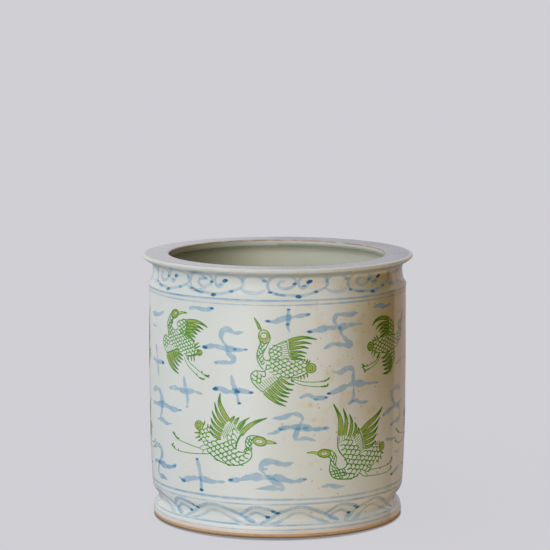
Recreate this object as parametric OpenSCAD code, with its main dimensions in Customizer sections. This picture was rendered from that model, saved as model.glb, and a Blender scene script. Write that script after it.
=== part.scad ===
// Brush holder pot: a cylindrical porcelain pot with a flat flanged rim, a hollow neck band, a nipped
// waist and a turned foot. Four clay sections are luted together and fired under four coats of glaze.

/* [Overall] */
// Height from the table to the top of the rim
height = 195; // [175:1:215]
// Outside diameter of the flanged rim
rim_d = 200; // [196:0.5:206]
// Outside diameter at the middle of the wall
body_d = 190.4; // [188:0.2:192]
// Outside diameter at the bottom of the wall, just above the waist
wall_foot_d = 186.8; // [185:0.2:188]

/* [Rim and neck] */
// Diameter of the mouth, inside the lip
mouth_d = 160.8; // [156:0.2:166]
// Thickness of the flange at its outer edge
flange_t = 3.1; // [2.8:0.1:5]
// Height of the upright face of the inner lip
lip_h = 5.2; // [4:0.1:6.5]
// Smallest outside diameter of the hollow neck
neck_d = 184.6; // [183:0.2:186]
// Height of the neck band, from the shoulder up to the flange
neck_h = 15.3; // [13:0.1:17]

/* [Foot] */
// Largest outside diameter of the foot
foot_d = 185; // [183:0.2:187]
// Smallest outside diameter of the waist above the foot
waist_d = 176.8; // [175:0.2:178.5]
// Height of the middle of the waist
waist_z = 13.6; // [12.5:0.1:15]
// Radial width of the bare ring that the pot stands on
foot_land = 8; // [6:0.5:9]
// Depth of the hollow under the floor
base_recess = 5; // [4:0.5:6]
// Height of the bare clay band left along the foot's edge
bare_band = 2.8; // [2:0.1:4]

/* [Walls] */
// Thickness of the wall with its glaze
wall_t = 6.2; // [5.5:0.1:7]
// Thickness of the floor with its glaze
floor_t = 9; // [8:0.5:11]
// Thickness of every coat of glaze
glaze_t = 0.5; // [0.4:0.05:0.6]

/* [Hidden] */
$fn = 180;

biscuit = [0.86, 0.72, 0.56];
white_glaze = [0.90, 0.91, 0.88];
rim_white = [0.80, 0.80, 0.83];
inner_celadon = [0.74, 0.77, 0.70];

// Radii of the glazed surface
rim_r = rim_d / 2;
body_r = body_d / 2;
mouth_r = mouth_d / 2;
neck_r = neck_d / 2;
waist_r = waist_d / 2;
foot_r = foot_d / 2;
wall_foot_r = wall_foot_d / 2;
inner_r = body_r - wall_t;
land_r = foot_r - 1.8 - foot_land; // inner edge of the bare ring

// Heights
shoulder_z = height - flange_t - neck_h - 4;
flange_z = height - flange_t;
floor_z = base_recess + floor_t;
belly_z = waist_z + 15;

// Joint faces between the clay sections
foot_joint_z = waist_z - 0.6;
rim_joint_z = flange_z - 5.9;
spigot_h = 2;
spigot_r = inner_r + 1.6;
slab_r = waist_r - 5;
step_r = inner_r - 12;

// --- curves -------------------------------------------------------------------------------------

steps = 6; // pieces in each stretch of a smooth curve

// A smooth curve through the points of a list, which starts and ends at its second and last but one
function through(p) = [
    for (i = [1 : len(p) - 3])
        for (k = [0 : (i == len(p) - 3 ? steps : steps - 1)])
            let (t = k / steps)
                0.5 * (2 * p[i] + (p[i + 1] - p[i - 1]) * t
                    + (2 * p[i - 1] - 5 * p[i] + 4 * p[i + 1] - p[i + 2]) * pow(t, 2)
                    + (3 * p[i] - p[i - 1] - 3 * p[i + 1] + p[i + 2]) * pow(t, 3))
];

// Points of an arc about c from angle a0 to angle a1
function arc(c, r, a0, a1, n = 8) = [
    for (k = [0 : n]) let (a = a0 + (a1 - a0) * k / n) c + r * [cos(a), sin(a)]
];

function unit(v) = v / norm(v);
function left_of(v) = [-v[1], v[0]];

// The line moved by d to its left, square to the run of the line at each point
function moved(p, d) = [
    for (i = [0 : len(p) - 1])
        let (
            before = unit(i == 0 ? p[1] - p[0] : p[i] - p[i - 1]),
            after = unit(i == len(p) - 1 ? p[i] - p[i - 1] : p[i + 1] - p[i]),
            across = unit(left_of(before) + left_of(after))
        )
            p[i] + across * d / (across * left_of(before))
];

function part_of(p, a, b) = [for (i = [a : b]) p[i]];
function backwards(p) = [for (i = [len(p) - 1 : -1 : 0]) p[i]];

// --- the glazed surface, from the foot up the outside, over the rim and down the inside ----------

outside_line = through([
    [foot_r - 0.6, bare_band - 4],
    [foot_r - 0.1, bare_band],
    [foot_r - 0.5, waist_z - 7.2],
    [foot_r - 1.2, waist_z - 4.4],
    [waist_r + 0.4, waist_z - 1.8],
    [waist_r, waist_z],
    [waist_r + 0.7, waist_z + 3],
    [wall_foot_r - 2.6, waist_z + 5.6],
    [wall_foot_r - 0.9, waist_z + 8.4],
    [wall_foot_r, belly_z],
    [body_r - 0.6, belly_z + 32],
    [body_r, height * 0.6],
    [body_r - 0.2, shoulder_z - 8],
    [body_r + 0.1, shoulder_z],
    [body_r - 0.7, shoulder_z + 1.8],
    [neck_r + 0.9, shoulder_z + 4.4],
    [neck_r, shoulder_z + neck_h * 0.62],
    [neck_r + 0.4, flange_z - 5],
    [neck_r + 2.4, flange_z - 2.5],
    [rim_r - 2.5, flange_z - 1],
    [rim_r - 0.9, flange_z + 0.3],
    [rim_r, height - 1.9],
    [rim_r - 0.2, height - 0.5]
]);

rim_line = concat(
    arc([rim_r - 1.7, height - 1.7], 1.7, 8, 90, 7),
    arc([mouth_r + 1, height - 1], 1, 90, 180, 6),
    arc([mouth_r + 1.2, height - lip_h + 1.2], 1.2, 180, 262, 6)
);

inside_line = concat(
    through([
        [mouth_r - 2, height - lip_h + 0.4],
        [mouth_r + 3.4, height - lip_h - 0.3],
        [inner_r - 2.2, height - lip_h - 1.8],
        [inner_r - 0.3, height - lip_h - 4.2],
        [inner_r - 0.2, height - lip_h - 14],
        [inner_r, height * 0.6],
        [inner_r - 0.6, belly_z + 32],
        [inner_r - 2, belly_z + 4],
        [inner_r - 5.5, floor_z + 12],
        [inner_r - 8, floor_z + 10]
    ]),
    arc([inner_r - 18, floor_z + 12], 12, -6, -90, 10),
    [[0, floor_z]]
);

base_line = concat(
    [[0, base_recess]],
    arc([land_r - 5.5, base_recess - 3], 3, 90, 8, 7),
    [[land_r - 2.2, bare_band - 1]]
);

glazed_line = concat(outside_line, rim_line, inside_line);
clay_line = moved(glazed_line, glaze_t);
outside_end = len(outside_line) - 1;
rim_end = outside_end + len(rim_line);
clay_base_line = moved(base_line, glaze_t);

// --- sections -----------------------------------------------------------------------------------

// Half section of all the clay, with the bare land that the pot stands on
module clay_half() {
    polygon(concat(
        [[0, clay_line[len(clay_line) - 1][1]], [0, clay_base_line[0][1]]],
        part_of(clay_base_line, 1, len(clay_base_line) - 1),
        [[land_r - 1.5, 0.6], [land_r - 0.6, 0]],
        arc([foot_r - 1.1, 0.8], 0.8, -90, 0, 6),
        [[foot_r - 0.3, bare_band - 0.5]],
        part_of(clay_line, 0, len(clay_line) - 2)
    ));
}

// The floor slab lies on the foot ring's ledge, and the wall stands on both
module foot_ring_area() {
    difference() {
        translate([0, -1]) square([rim_r, foot_joint_z + 1]);
        translate([-1, base_recess - 3]) square([slab_r + 1, height]);
    }
    translate([land_r - 3, -1]) square([slab_r - land_r + 3, base_recess + 1 + glaze_t]);
}

module floor_slab_area() {
    difference() {
        union() {
            square([slab_r, foot_joint_z]);
            square([step_r, height / 2]);
        }
        foot_ring_area();
    }
}

module rim_ring_area() {
    translate([0, rim_joint_z]) square([rim_r + 1, height]);
    translate([0, rim_joint_z - spigot_h]) square([spigot_r, height]);
}

module coat(outer_points, clay_points) {
    rotate_extrude() polygon(concat(outer_points, backwards(clay_points)));
}

// --- nodes --------------------------------------------------------------------------------------

module foot_ring() {
    color(biscuit) rotate_extrude() intersection() {
        clay_half();
        foot_ring_area();
    }
}

module floor_slab() {
    color(biscuit) rotate_extrude() intersection() {
        clay_half();
        floor_slab_area();
    }
}

module wall() {
    color(biscuit) rotate_extrude() difference() {
        clay_half();
        translate([0, -1]) square([rim_r, foot_joint_z + 1]);
        floor_slab_area();
        rim_ring_area();
    }
}

module rim_ring() {
    color(biscuit) rotate_extrude() intersection() {
        clay_half();
        rim_ring_area();
    }
}

module outer_glaze() {
    color(white_glaze) coat(outside_line, part_of(clay_line, 0, outside_end));
}

module rim_glaze() {
    color(rim_white) coat(
        part_of(glazed_line, outside_end, rim_end),
        part_of(clay_line, outside_end, rim_end)
    );
}

module inner_glaze() {
    color(inner_celadon) coat(
        part_of(glazed_line, rim_end, len(glazed_line) - 1),
        part_of(clay_line, rim_end, len(clay_line) - 1)
    );
}

module base_glaze() {
    color(white_glaze) coat(base_line, clay_base_line);
}

foot_ring();
floor_slab();
wall();
rim_ring();
outer_glaze();
rim_glaze();
inner_glaze();
base_glaze();
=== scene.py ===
import math

import bpy
import numpy as np
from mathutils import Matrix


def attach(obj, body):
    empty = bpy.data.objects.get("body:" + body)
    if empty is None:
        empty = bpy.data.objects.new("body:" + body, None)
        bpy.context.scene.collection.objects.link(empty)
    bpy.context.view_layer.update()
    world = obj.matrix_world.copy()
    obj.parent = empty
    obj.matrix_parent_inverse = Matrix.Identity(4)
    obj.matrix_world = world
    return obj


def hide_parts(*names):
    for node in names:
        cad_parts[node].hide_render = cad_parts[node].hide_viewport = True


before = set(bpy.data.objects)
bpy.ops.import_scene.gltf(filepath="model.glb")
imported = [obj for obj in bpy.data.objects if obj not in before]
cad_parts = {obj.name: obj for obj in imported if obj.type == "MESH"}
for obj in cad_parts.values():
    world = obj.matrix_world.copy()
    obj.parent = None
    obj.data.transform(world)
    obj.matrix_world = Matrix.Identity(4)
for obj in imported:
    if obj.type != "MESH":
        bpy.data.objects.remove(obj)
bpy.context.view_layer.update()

# ------------------------------------------------------------------------------------------------
# The turned clay. A white porcelain body, thrown in sections and turned on the wheel. Its foot is
# left bare, and the fire has toasted it from cream at the glaze to brown at the desk.
# ------------------------------------------------------------------------------------------------
MM = 0.001
ROUND = 288  # facets round the pot


def smooth(points, step=0.6):
    """A smooth curve through the points, in steps of about that many mm."""
    p = np.array(points, float)
    p = np.vstack([2 * p[0] - p[1], p, 2 * p[-1] - p[-2]])
    out = []
    for a, b, c, d in zip(p, p[1:], p[2:], p[3:]):
        n = max(1, int(np.ceil(np.linalg.norm((c - b)[:2]) / step)))
        t = np.arange(n)[:, None] / n
        out.append(0.5 * (2 * b + (c - a) * t + (2 * a - 5 * b + 4 * c - d) * t**2
                          + (3 * b - a - 3 * c + d) * t**3))
    return np.vstack(out + [p[-2:-1]])


def arc(cx, cy, r, a0, a1, n=8):
    """Points of an arc about (cx, cy), angles in degrees."""
    a = np.radians(np.linspace(a0, a1, n + 1))
    return np.stack([cx + r * np.cos(a), cy + r * np.sin(a)], 1)


def added(name, data):
    """A new object in the scene, at the origin."""
    thing = bpy.data.objects.new(name, data)
    bpy.context.scene.collection.objects.link(thing)
    return thing


def tree_with(name, *inputs):
    """A geometry node tree with the named inputs, its given values, and short ways to add to it."""
    tree = bpy.data.node_groups.new(name, "GeometryNodeTree")
    for label, kind in (*inputs, ("Finish", "Material")):
        tree.interface.new_socket(label, in_out="INPUT", socket_type="NodeSocket" + kind)
    tree.interface.new_socket("Piece", in_out="OUTPUT", socket_type="NodeSocketGeometry")
    new = tree.nodes.new
    return tree, new("NodeGroupInput").outputs, new, tree.links.new


def end_tree(given, new, link, geometry):
    """Ends a tree with real geometry in the given material."""
    real = new("GeometryNodeRealizeInstances")
    link(geometry, real.inputs[0])
    finish = new("GeometryNodeSetMaterial")
    link(real.outputs[0], finish.inputs["Geometry"])
    link(given["Finish"], finish.inputs["Material"])
    link(finish.outputs[0], new("NodeGroupOutput").inputs[0])


def turning_tree():
    """A node tree that turns a profile, given as a loop of points at X = radius, about Z."""
    tree, given, new, link = tree_with("turned_on_the_wheel", ("Profile", "Geometry"),
                                       ("Facets round", "Int"))

    def whole(operation, a, b):
        n = new("FunctionNodeIntegerMath")
        n.operation = operation
        for socket, value in zip(n.inputs, (a, b)):
            if isinstance(value, int):
                socket.default_value = value
            else:
                link(value, socket)
        return n.outputs[0]

    count = new("GeometryNodeAttributeDomainSize")
    link(given["Profile"], count.inputs["Geometry"])
    around = whole("ADD", given["Facets round"], 1)
    grid = new("GeometryNodeMeshGrid")
    link(count.outputs["Point Count"], grid.inputs["Vertices X"])
    link(around, grid.inputs["Vertices Y"])
    index = new("GeometryNodeInputIndex").outputs[0]
    on_profile = new("GeometryNodeSampleIndex")
    on_profile.data_type = "FLOAT_VECTOR"
    link(given["Profile"], on_profile.inputs["Geometry"])
    link(new("GeometryNodeInputPosition").outputs[0], on_profile.inputs["Value"])
    link(whole("DIVIDE_FLOOR", index, around), on_profile.inputs["Index"])
    part = new("ShaderNodeMath")
    part.operation = "DIVIDE"
    link(whole("MODULO", index, around), part.inputs[0])
    link(given["Facets round"], part.inputs[1])
    angle = new("ShaderNodeMath")
    angle.operation = "MULTIPLY"
    angle.inputs[1].default_value = 2 * math.pi
    link(part.outputs[0], angle.inputs[0])
    turn = new("ShaderNodeVectorRotate")
    turn.rotation_type = "Z_AXIS"
    link(on_profile.outputs[0], turn.inputs["Vector"])
    link(angle.outputs[0], turn.inputs["Angle"])
    place = new("GeometryNodeSetPosition")
    link(grid.outputs["Mesh"], place.inputs["Geometry"])
    link(turn.outputs[0], place.inputs["Position"])
    seam = new("GeometryNodeMergeByDistance")
    seam.inputs["Distance"].default_value = 1e-6
    link(place.outputs[0], seam.inputs["Geometry"])
    shade = new("GeometryNodeSetShadeSmooth")
    link(seam.outputs[0], shade.inputs["Geometry"])
    end_tree(given, new, link, shade.outputs[0])
    return tree


def made_by(tree, name, mesh, finish, **values):
    """Runs a mesh through a node tree and keeps the plain mesh that comes out of it."""
    source = added(name + "_source", mesh)
    modifier = source.modifiers.new("made", "NODES")
    modifier.node_group = tree
    sockets = {s.name: s.identifier for s in tree.interface.items_tree if s.in_out == "INPUT"}
    for label, value in values.items():
        modifier[sockets[label.replace("_", " ").capitalize()]] = value
    modifier[sockets["Finish"]] = finish
    seen = source.evaluated_get(bpy.context.evaluated_depsgraph_get())
    result = bpy.data.meshes.new_from_object(seen)
    result.name = name
    source.modifiers.clear()
    bpy.data.objects.remove(source)
    if not result.materials:
        result.materials.append(finish)
    return added(name, result)


turning = turning_tree()


def turned(name, loop, finish):
    """A solid of revolution from a loop of (radius, height) points in mm, run clockwise."""
    loop = np.array(loop)
    loop = np.vstack([loop, loop[:1]]) * MM
    mesh = bpy.data.meshes.new(name + "_profile")
    mesh.from_pydata([(r, 0, z) for r, z in loop], [], [])
    return made_by(turning, name, mesh, finish, facets_round=ROUND)


class Flow:
    """A value or colour on its way through a material, with ordinary arithmetic."""

    def __init__(self, tree, socket):
        self.tree, self.socket = tree, socket

    def _math(self, operation, *values):
        return self.node("ShaderNodeMath", {"operation": operation}, list(values)).out()

    def node(self, kind, settings=None, values=None):
        n = self.tree.nodes.new(kind)
        for key, value in (settings or {}).items():
            setattr(n, key, value)
        items = values.items() if isinstance(values, dict) else enumerate(values or [])
        for key, value in items:
            if isinstance(value, Flow):
                self.tree.links.new(value.socket, n.inputs[key])
            elif isinstance(value, tuple) and n.inputs[key].type == "RGBA":
                n.inputs[key].default_value = (*value, 1)
            else:
                n.inputs[key].default_value = value
        made = Flow(self.tree, n.outputs[0])
        made.made = n
        return made

    def out(self, name=0):
        return Flow(self.tree, self.made.outputs[name]) if hasattr(self, "made") else self

    def __add__(self, other):
        return self._math("ADD", self, other)

    def __radd__(self, other):
        return self._math("ADD", other, self)

    def __sub__(self, other):
        return self._math("SUBTRACT", self, other)

    def __rsub__(self, other):
        return self._math("SUBTRACT", other, self)

    def __mul__(self, other):
        return self._math("MULTIPLY", self, other)

    def __rmul__(self, other):
        return self._math("MULTIPLY", other, self)

    def between(self, low, high):
        """0 below low and 1 above high, with a soft step between them."""
        return self.node("ShaderNodeMapRange", {"interpolation_type": "SMOOTHSTEP"},
                         {"Value": self, "From Min": low, "From Max": high}).out()

    def tint(self, other, amount):
        """This colour mixed with the other by the amount."""
        mix = self.node("ShaderNodeMix", {"data_type": "RGBA"}, {0: amount, 6: self, 7: other})
        return mix.out(2)

    def plain(self, colour):
        """A colour that is the same everywhere."""
        same = self.node("ShaderNodeRGB").out()
        same.socket.default_value = (*colour, 1)
        return same

    def noise(self, scale, detail=3.0, stretch=None):
        """Noise of that many cells a metre at this place, 0 to 1."""
        where = self
        if stretch:
            where = self.node("ShaderNodeMapping", {}, {"Vector": self, "Scale": stretch}).out()
        return self.node("ShaderNodeTexNoise", {}, {"Vector": where, "Scale": scale,
                                                    "Detail": detail}).out()

    def spots(self, scale, size):
        """1 in round spots, one for each cell, and 0 between them; size is a part of a cell."""
        cells = self.node("ShaderNodeTexVoronoi", {}, {"Vector": self, "Scale": scale})
        return 1 - cells.out("Distance").between(size * 0.4, size)


def material(name, roughness, **constants):
    """An empty material with its shader, and the place on the pot as a starting value."""
    made = bpy.data.materials.new(name)
    made.use_nodes = True
    tree = made.node_tree
    shader = tree.nodes["Principled BSDF"]
    shader.inputs["Roughness"].default_value = roughness
    for key, value in constants.items():
        shader.inputs[key.replace("_", " ")].default_value = value
    where = Flow(tree, tree.nodes.new("ShaderNodeTexCoord").outputs["Object"])
    return made, tree, shader, where


def feed(tree, shader, **values):
    """Links values to the shader's inputs of those names."""
    for key, value in values.items():
        tree.links.new(value.socket, shader.inputs[key.replace("_", " ")])


def height_of(where):
    """The height above the desk in metres."""
    return where.node("ShaderNodeSeparateXYZ", {}, [where]).out("Z")


clay, tree, shader, where = material("bare_clay", 0.8, IOR=1.45)
grain = where.noise(900, 4)
rings = where.noise(260, 2, (0.05, 0.05, 1))
toast = (height_of(where) + (rings - 0.5) * 0.0012).between(0.0001, 0.0026)
colour = where.plain((0.56, 0.37, 0.20)).tint((0.15, 0.08, 0.035), 1 - toast)
colour = colour.tint((0.30, 0.15, 0.06), where.noise(60, 3).between(0.52, 0.75) * 0.7)
colour = colour.tint((0.05, 0.03, 0.02), where.spots(420, 0.22) * 0.6)
bump = where.node("ShaderNodeBump", {}, {"Strength": 0.5, "Distance": 0.0002,
                                         "Height": grain + rings}).out()
feed(tree, shader, Base_Color=colour, Normal=bump)

FOOT_R, LAND_R, BARE = 92.5, 82.7, 2.8
foot_loop = np.vstack([
    [[LAND_R - 1.9, 5.5], [LAND_R - 1.9, 1.8], [LAND_R - 1.5, 0.6]],
    arc(LAND_R - 0.5, 0.6, 0.6, 180, 270, 4),
    arc(FOOT_R - 1.1, 0.8, 0.8, -90, 0, 6),
    smooth([[FOOT_R - 0.3, 0.9], [FOOT_R - 0.25, 1.6], [FOOT_R - 0.35, BARE - 0.4],
            [FOOT_R - 0.6, BARE]], 0.2),
    [[FOOT_R - 1.2, 6.5], [FOOT_R - 4.9, 13], [83.4, 13], [83.4, 5.5]],
])[::-1]
foot = turned("bare_foot", foot_loop, clay)
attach(foot, "root")
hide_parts("foot_ring")
for name in ("floor_slab", "wall", "rim_ring"):
    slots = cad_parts[name].data.materials
    slots.clear()
    slots.append(clay)

# ------------------------------------------------------------------------------------------------
# The coats of clear glaze. A thick glossy glaze, faintly green where it pools, with a warm flush
# beside the bare foot, pinholes and iron specks burnt out of the clay, and shallow throwing rings.
# ------------------------------------------------------------------------------------------------
def side_of(where):
    """The angle round the pot in radians, 0 at the front and growing to the right."""
    axes = where.node("ShaderNodeSeparateXYZ", {}, [where])
    return where.node("ShaderNodeMath", {"operation": "ARCTAN2"},
                      [axes.out("X"), 0 - axes.out("Y")]).out()


def toning_and_right_shade(where):
    """How far warm brown toning of age and painted shade cover a place: on the right, more to the
    top.
    """
    side, up = side_of(where), height_of(where)
    right_side = side.between(0.3, 1.0) * (1 - side.between(1.5, 2.3)) * (1 - up.between(0.185, 0.19))
    return right_side * up.between(0.03, 0.155) * (0.8 + where.noise(14, 4) * 0.4)


def left_shade(side):
    """1 on the left of the mouth's far side, where shade is painted into the glaze, and 0
    elsewhere.
    """
    return side.between(-3.1, -2.4) * (1 - side.between(-1.8, -1.1))


def left_end(side):
    """1 at the mouth's left end, where the painted shade is darkest, and 0 elsewhere."""
    return side.between(-2.6, -2.0) * (1 - side.between(-1.6, -1.25))


def painted_light_and_shade_inside(where, colour):
    """Paints light on the glaze near the top of the inside, and shade on the left of the far side.
    """
    side, up = side_of(where), height_of(where)
    # Painted light under the lip, then painted shade on the left, darkest at the left end
    colour = colour.tint((0.84, 0.85, 0.73), up.between(0.168, 0.186) * 0.8)
    colour = colour.tint((0.27, 0.27, 0.17), left_shade(side) * up.between(0.06, 0.15) * 0.85)
    return colour.tint((0.12, 0.11, 0.05), left_end(side) * up.between(0.12, 0.17) * 0.7)


def aged_and_shaded_outside(where, colour, amount):
    """Adds brown patches with freckles on the right, toning with painted shade, and the rim's
    crease.
    """
    side, up = side_of(where), height_of(where)
    patchy = where.noise(75, 5).between(0.5, 0.66) * side.between(-0.05, 0.5)
    bloom = patchy * (1 - side.between(0.9, 1.4)) * up.between(0.05, 0.09)
    colour = colour.tint((0.57, 0.43, 0.23), bloom * 0.3 * amount)
    freckles = where.spots(430, 0.3) * bloom * amount
    colour = colour.tint((0.46, 0.32, 0.14), freckles * 0.5)
    # Toning of age, with painted shade on the right side
    colour = colour.tint((0.38, 0.33, 0.18), toning_and_right_shade(where))
    # The crease under the rim: dirt with painted shade, stronger towards the right
    crease = up.between(0.1876, 0.1892) * (1 - up.between(0.1916, 0.1926))
    return colour.tint((0.27, 0.28, 0.22), crease * (0.25 + side.between(-0.6, 0.5) * 0.4))


def glaze_colour(where, base, pooled, specks=1.0, toned=True):
    """The colour of the glaze at a place, from its clean and its pooled colour."""
    side, up = side_of(where), height_of(where)
    colour = where.plain(base).tint(pooled, where.noise(11, 3).between(0.35, 0.7) * 0.55)
    colour = colour.tint((0.72, 0.62, 0.53), where.noise(24, 4).between(0.56, 0.8) * 0.35)
    flush = (up + (where.noise(70, 3) - 0.5) * 0.005).between(0.0028, 0.0085)
    colour = colour.tint((0.62, 0.41, 0.27), (1 - flush) * 0.62)
    crowd = where.noise(17, 2).between(0.5, 0.68) * 0.6
    if toned:
        spotted = side.between(0.1, 0.4) * (1 - side.between(0.8, 1.3)) * up.between(0.006, 0.012)
        crowd = crowd + spotted * where.noise(45, 2).between(0.4, 0.58)
    crowd = crowd * specks
    halo = where.spots(120, 0.34) * crowd * where.noise(33, 2).between(0.44, 0.6)
    colour = colour.tint((0.58, 0.40, 0.22), halo * 0.5)
    colour = aged_and_shaded_outside(where, colour, specks) if toned else painted_light_and_shade_inside(where, colour)
    return colour.tint((0.24, 0.12, 0.05), where.spots(210, 0.17) * crowd * 0.75)


def glaze_bump(where):
    """The small unevenness of a thick glaze over turned clay."""
    rings = where.noise(120, 2, (0.02, 0.02, 1)) * 0.5
    peel = where.noise(150, 2) * 0.35
    pits = where.spots(330, 0.12) * where.noise(40, 2).between(0.5, 0.6) * -1.6
    return where.node("ShaderNodeBump", {}, {"Strength": 0.35, "Distance": 0.0002,
                                             "Height": rings + peel + pits}).out()


RIM_TOP, RIM_R, MOUTH_R = 0.195, 0.1, 0.0804


def rim_colour_and_shade(where, colour, top_grey):
    """The rim's glaze: grey and streaked on the flat top, painted shade on the lip, brown at the
    edges.
    """
    up, side = height_of(where), side_of(where)
    flat = where.node("ShaderNodeVectorMath", {"operation": "MULTIPLY"}, [where, (1, 1, 0)])
    out = where.node("ShaderNodeVectorMath", {"operation": "LENGTH"}, [flat]).out("Value")
    turned_marks = where.node("ShaderNodeCombineXYZ", {}, [out * 9, side * 0.012, 0]).out()
    streaks = where.noise(150, 3, (1, 1, 0.1)) * 0.5 + where.noise(38, 2) * 0.5
    streaks = streaks + (turned_marks.noise(110, 3) - 0.5) * 0.9
    # Painted shade: the rim's flat top is darker on its far side
    far_side_shade = side.between(0.8, 1.5) + 1 - side.between(-3.1, -2.3)
    top = where.plain(top_grey).tint((0.29, 0.285, 0.305), far_side_shade * 0.8)
    on_top = up.between(RIM_TOP - 0.0003, RIM_TOP - 0.00005)
    flange = 1 - out.between(RIM_R - 0.0032, RIM_R - 0.0015)
    colour = colour.tint(top, on_top * flange * (0.6 + streaks.between(0.3, 0.65) * 0.4))
    lip = up.between(RIM_TOP - 0.0014, RIM_TOP - 0.0010) * (1 - on_top)
    lip = lip * (1 - out.between(MOUTH_R + 0.0011, MOUTH_R + 0.0021))
    face = 1 - up.between(RIM_TOP - 0.0012, RIM_TOP - 0.0006)
    face = face * (1 - out.between(MOUTH_R + 0.0010, MOUTH_R + 0.0018))
    # Painted shade on the lip's inner face, darkest at the mouth's left end
    colour = colour.tint((0.30, 0.30, 0.19), face * left_shade(side) * 0.75)
    colour = colour.tint((0.13, 0.12, 0.05), face * left_end(side) * 0.8)
    broken = 0.5 + where.noise(120, 3).between(0.3, 0.6) * 0.5
    colour = colour.tint((0.34, 0.18, 0.08), lip * broken * 0.85)
    return colour.tint((0.40, 0.28, 0.17), out.between(RIM_R - 0.0006, RIM_R) * broken * 0.35)


def glaze(name, base, pooled, roughness=0.1, specks=1.0, top_grey=None, toned=True):
    """A glaze, from its clean and its pooled colour. On the rim its top takes a third colour."""
    made, tree, shader, where = material(name, roughness, IOR=1.5)
    colour = glaze_colour(where, base, pooled, specks, toned)
    if top_grey:
        colour = rim_colour_and_shade(where, colour, top_grey)
    feed(tree, shader, Base_Color=colour, Normal=glaze_bump(where))
    return made


WHITE, POOLED = (0.66, 0.68, 0.65), (0.61, 0.64, 0.59)
white_glaze = glaze("clear_glaze_over_white_clay", WHITE, POOLED)
rim_finish = glaze("clear_glaze_on_the_rim", (0.62, 0.65, 0.62), (0.57, 0.61, 0.57), 0.13, 0.5,
                   (0.42, 0.42, 0.45))
inner_finish = glaze("grey_green_glaze_inside", (0.66, 0.67, 0.56), (0.56, 0.58, 0.46), 0.12, 0.3,
                     toned=False)

# The outside from the foot to the rim, as (radius, height) in mm.
outside = smooth([
    [91.9, -1.2], [92.4, 2.8], [92.0, 6.4], [91.3, 9.2], [88.8, 11.8], [88.4, 13.6],
    [89.1, 16.6], [90.8, 19.2], [92.5, 22], [93.4, 28.6], [94.6, 60.6], [95.2, 117],
    [95, 164.6], [95.3, 172.6], [94.5, 174.4], [93.2, 177], [92.3, 182.1], [92.7, 186.9],
    [94.7, 189.4], [97.5, 190.9], [99.1, 192.2], [100, 193.1], [99.8, 194.5],
])
outside = outside[(outside[:, 1] >= BARE) & (outside[:, 1] < 193.3)]


def thinned(line, low, high):
    """The line with fewer points between the two heights, where it is nearly straight."""
    z = line[:, 1]
    return line[(z < low) | (z > high) | (np.arange(len(line)) % 6 == 0)]


outside = thinned(outside, 34, 166)
rim = np.vstack([arc(98.3, 193.3, 1.7, 0, 90, 10), [[94, 194.97], [88, 194.97]],
                 arc(81.4, 194, 1, 90, 180, 6), arc(81.6, 191, 1.2, 180, 262, 6)])
inside = np.vstack([
    thinned(smooth([[81.6, 189.8], [83.8, 189.5], [86.8, 188], [88.7, 185.6], [88.8, 175.8],
            [89, 117], [88.4, 60.6], [87, 32.6], [83.5, 26], [82.7, 24]], 1.0), 36, 184),
    arc(71, 26, 12, -6, -90, 14), [[50, 14], [25, 14], [0, 14]],
])
under = np.vstack([[[0, 5], [25, 5], [50, 5]], arc(77.2, 2, 3, 90, 8, 7), [[80.6, 1.7]]])


def coat(name, line, finish, thick=0.5):
    """A coat of glaze along a line of the surface, closed by its other side in the clay."""
    along = np.gradient(line, axis=0)
    across = np.stack([-along[:, 1], along[:, 0]], 1)
    across /= np.linalg.norm(across, axis=1)[:, None]
    inner = line + across * thick
    inner[:, 0] = np.maximum(inner[:, 0], 0)
    inner[line[:, 0] == 0, 0] = 0
    return turned(name, np.vstack([line, inner[::-1]])[::-1], finish)


for name, line, finish, node, record_slot in (
        ("outer_coat", outside, white_glaze, "outer_glaze", "clear_glaze"),
        ("rim_coat", np.vstack([outside[-1:], rim]), rim_finish, "rim_glaze", "rim_glaze"),
        ("inner_coat", np.vstack([rim[-1:], inside]), inner_finish, "inner_glaze", "inner_glaze"),
        ("base_coat", under, white_glaze, "base_glaze", "clear_glaze")):
    piece = coat(name, line, finish)
    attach(piece, "root")
    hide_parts(node)

# ------------------------------------------------------------------------------------------------
# The blue painting, brushed on the raw clay in cobalt and sealed under the glaze. Thin washes are
# pale and grey, and the ink pools dark where a loaded brush is set down or lifted.
# ------------------------------------------------------------------------------------------------
GIRTH_R = 95.0  # distances round the pot are measured on this radius, from the front
ROUND_MM = 2 * math.pi * GIRTH_R
WASH_LIFT = 0.03  # mm from the coat of glaze to the sheets that show the painting in it
BORDER_CELL = 0.36  # mm between the points of the borders' sheets

slope_r = np.gradient(outside[:, 0], outside[:, 1])


def on_pot(s, z, lift):
    """Places on the glaze, s mm round from the front and z mm up, raised by lift mm."""
    r = np.interp(z, outside[:, 1], outside[:, 0])
    lean = np.interp(z, outside[:, 1], slope_r)
    size = np.sqrt(1 + lean**2)
    out, up = 1 / size, -lean / size
    a = s / GIRTH_R
    ring = np.stack([np.sin(a), -np.cos(a)], -1)
    place = np.concatenate([ring * (r + lift * out)[..., None], (z + lift * up)[..., None]], -1)
    normal = np.concatenate([ring * out[..., None], up[..., None]], -1)
    return place * MM, normal


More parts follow.
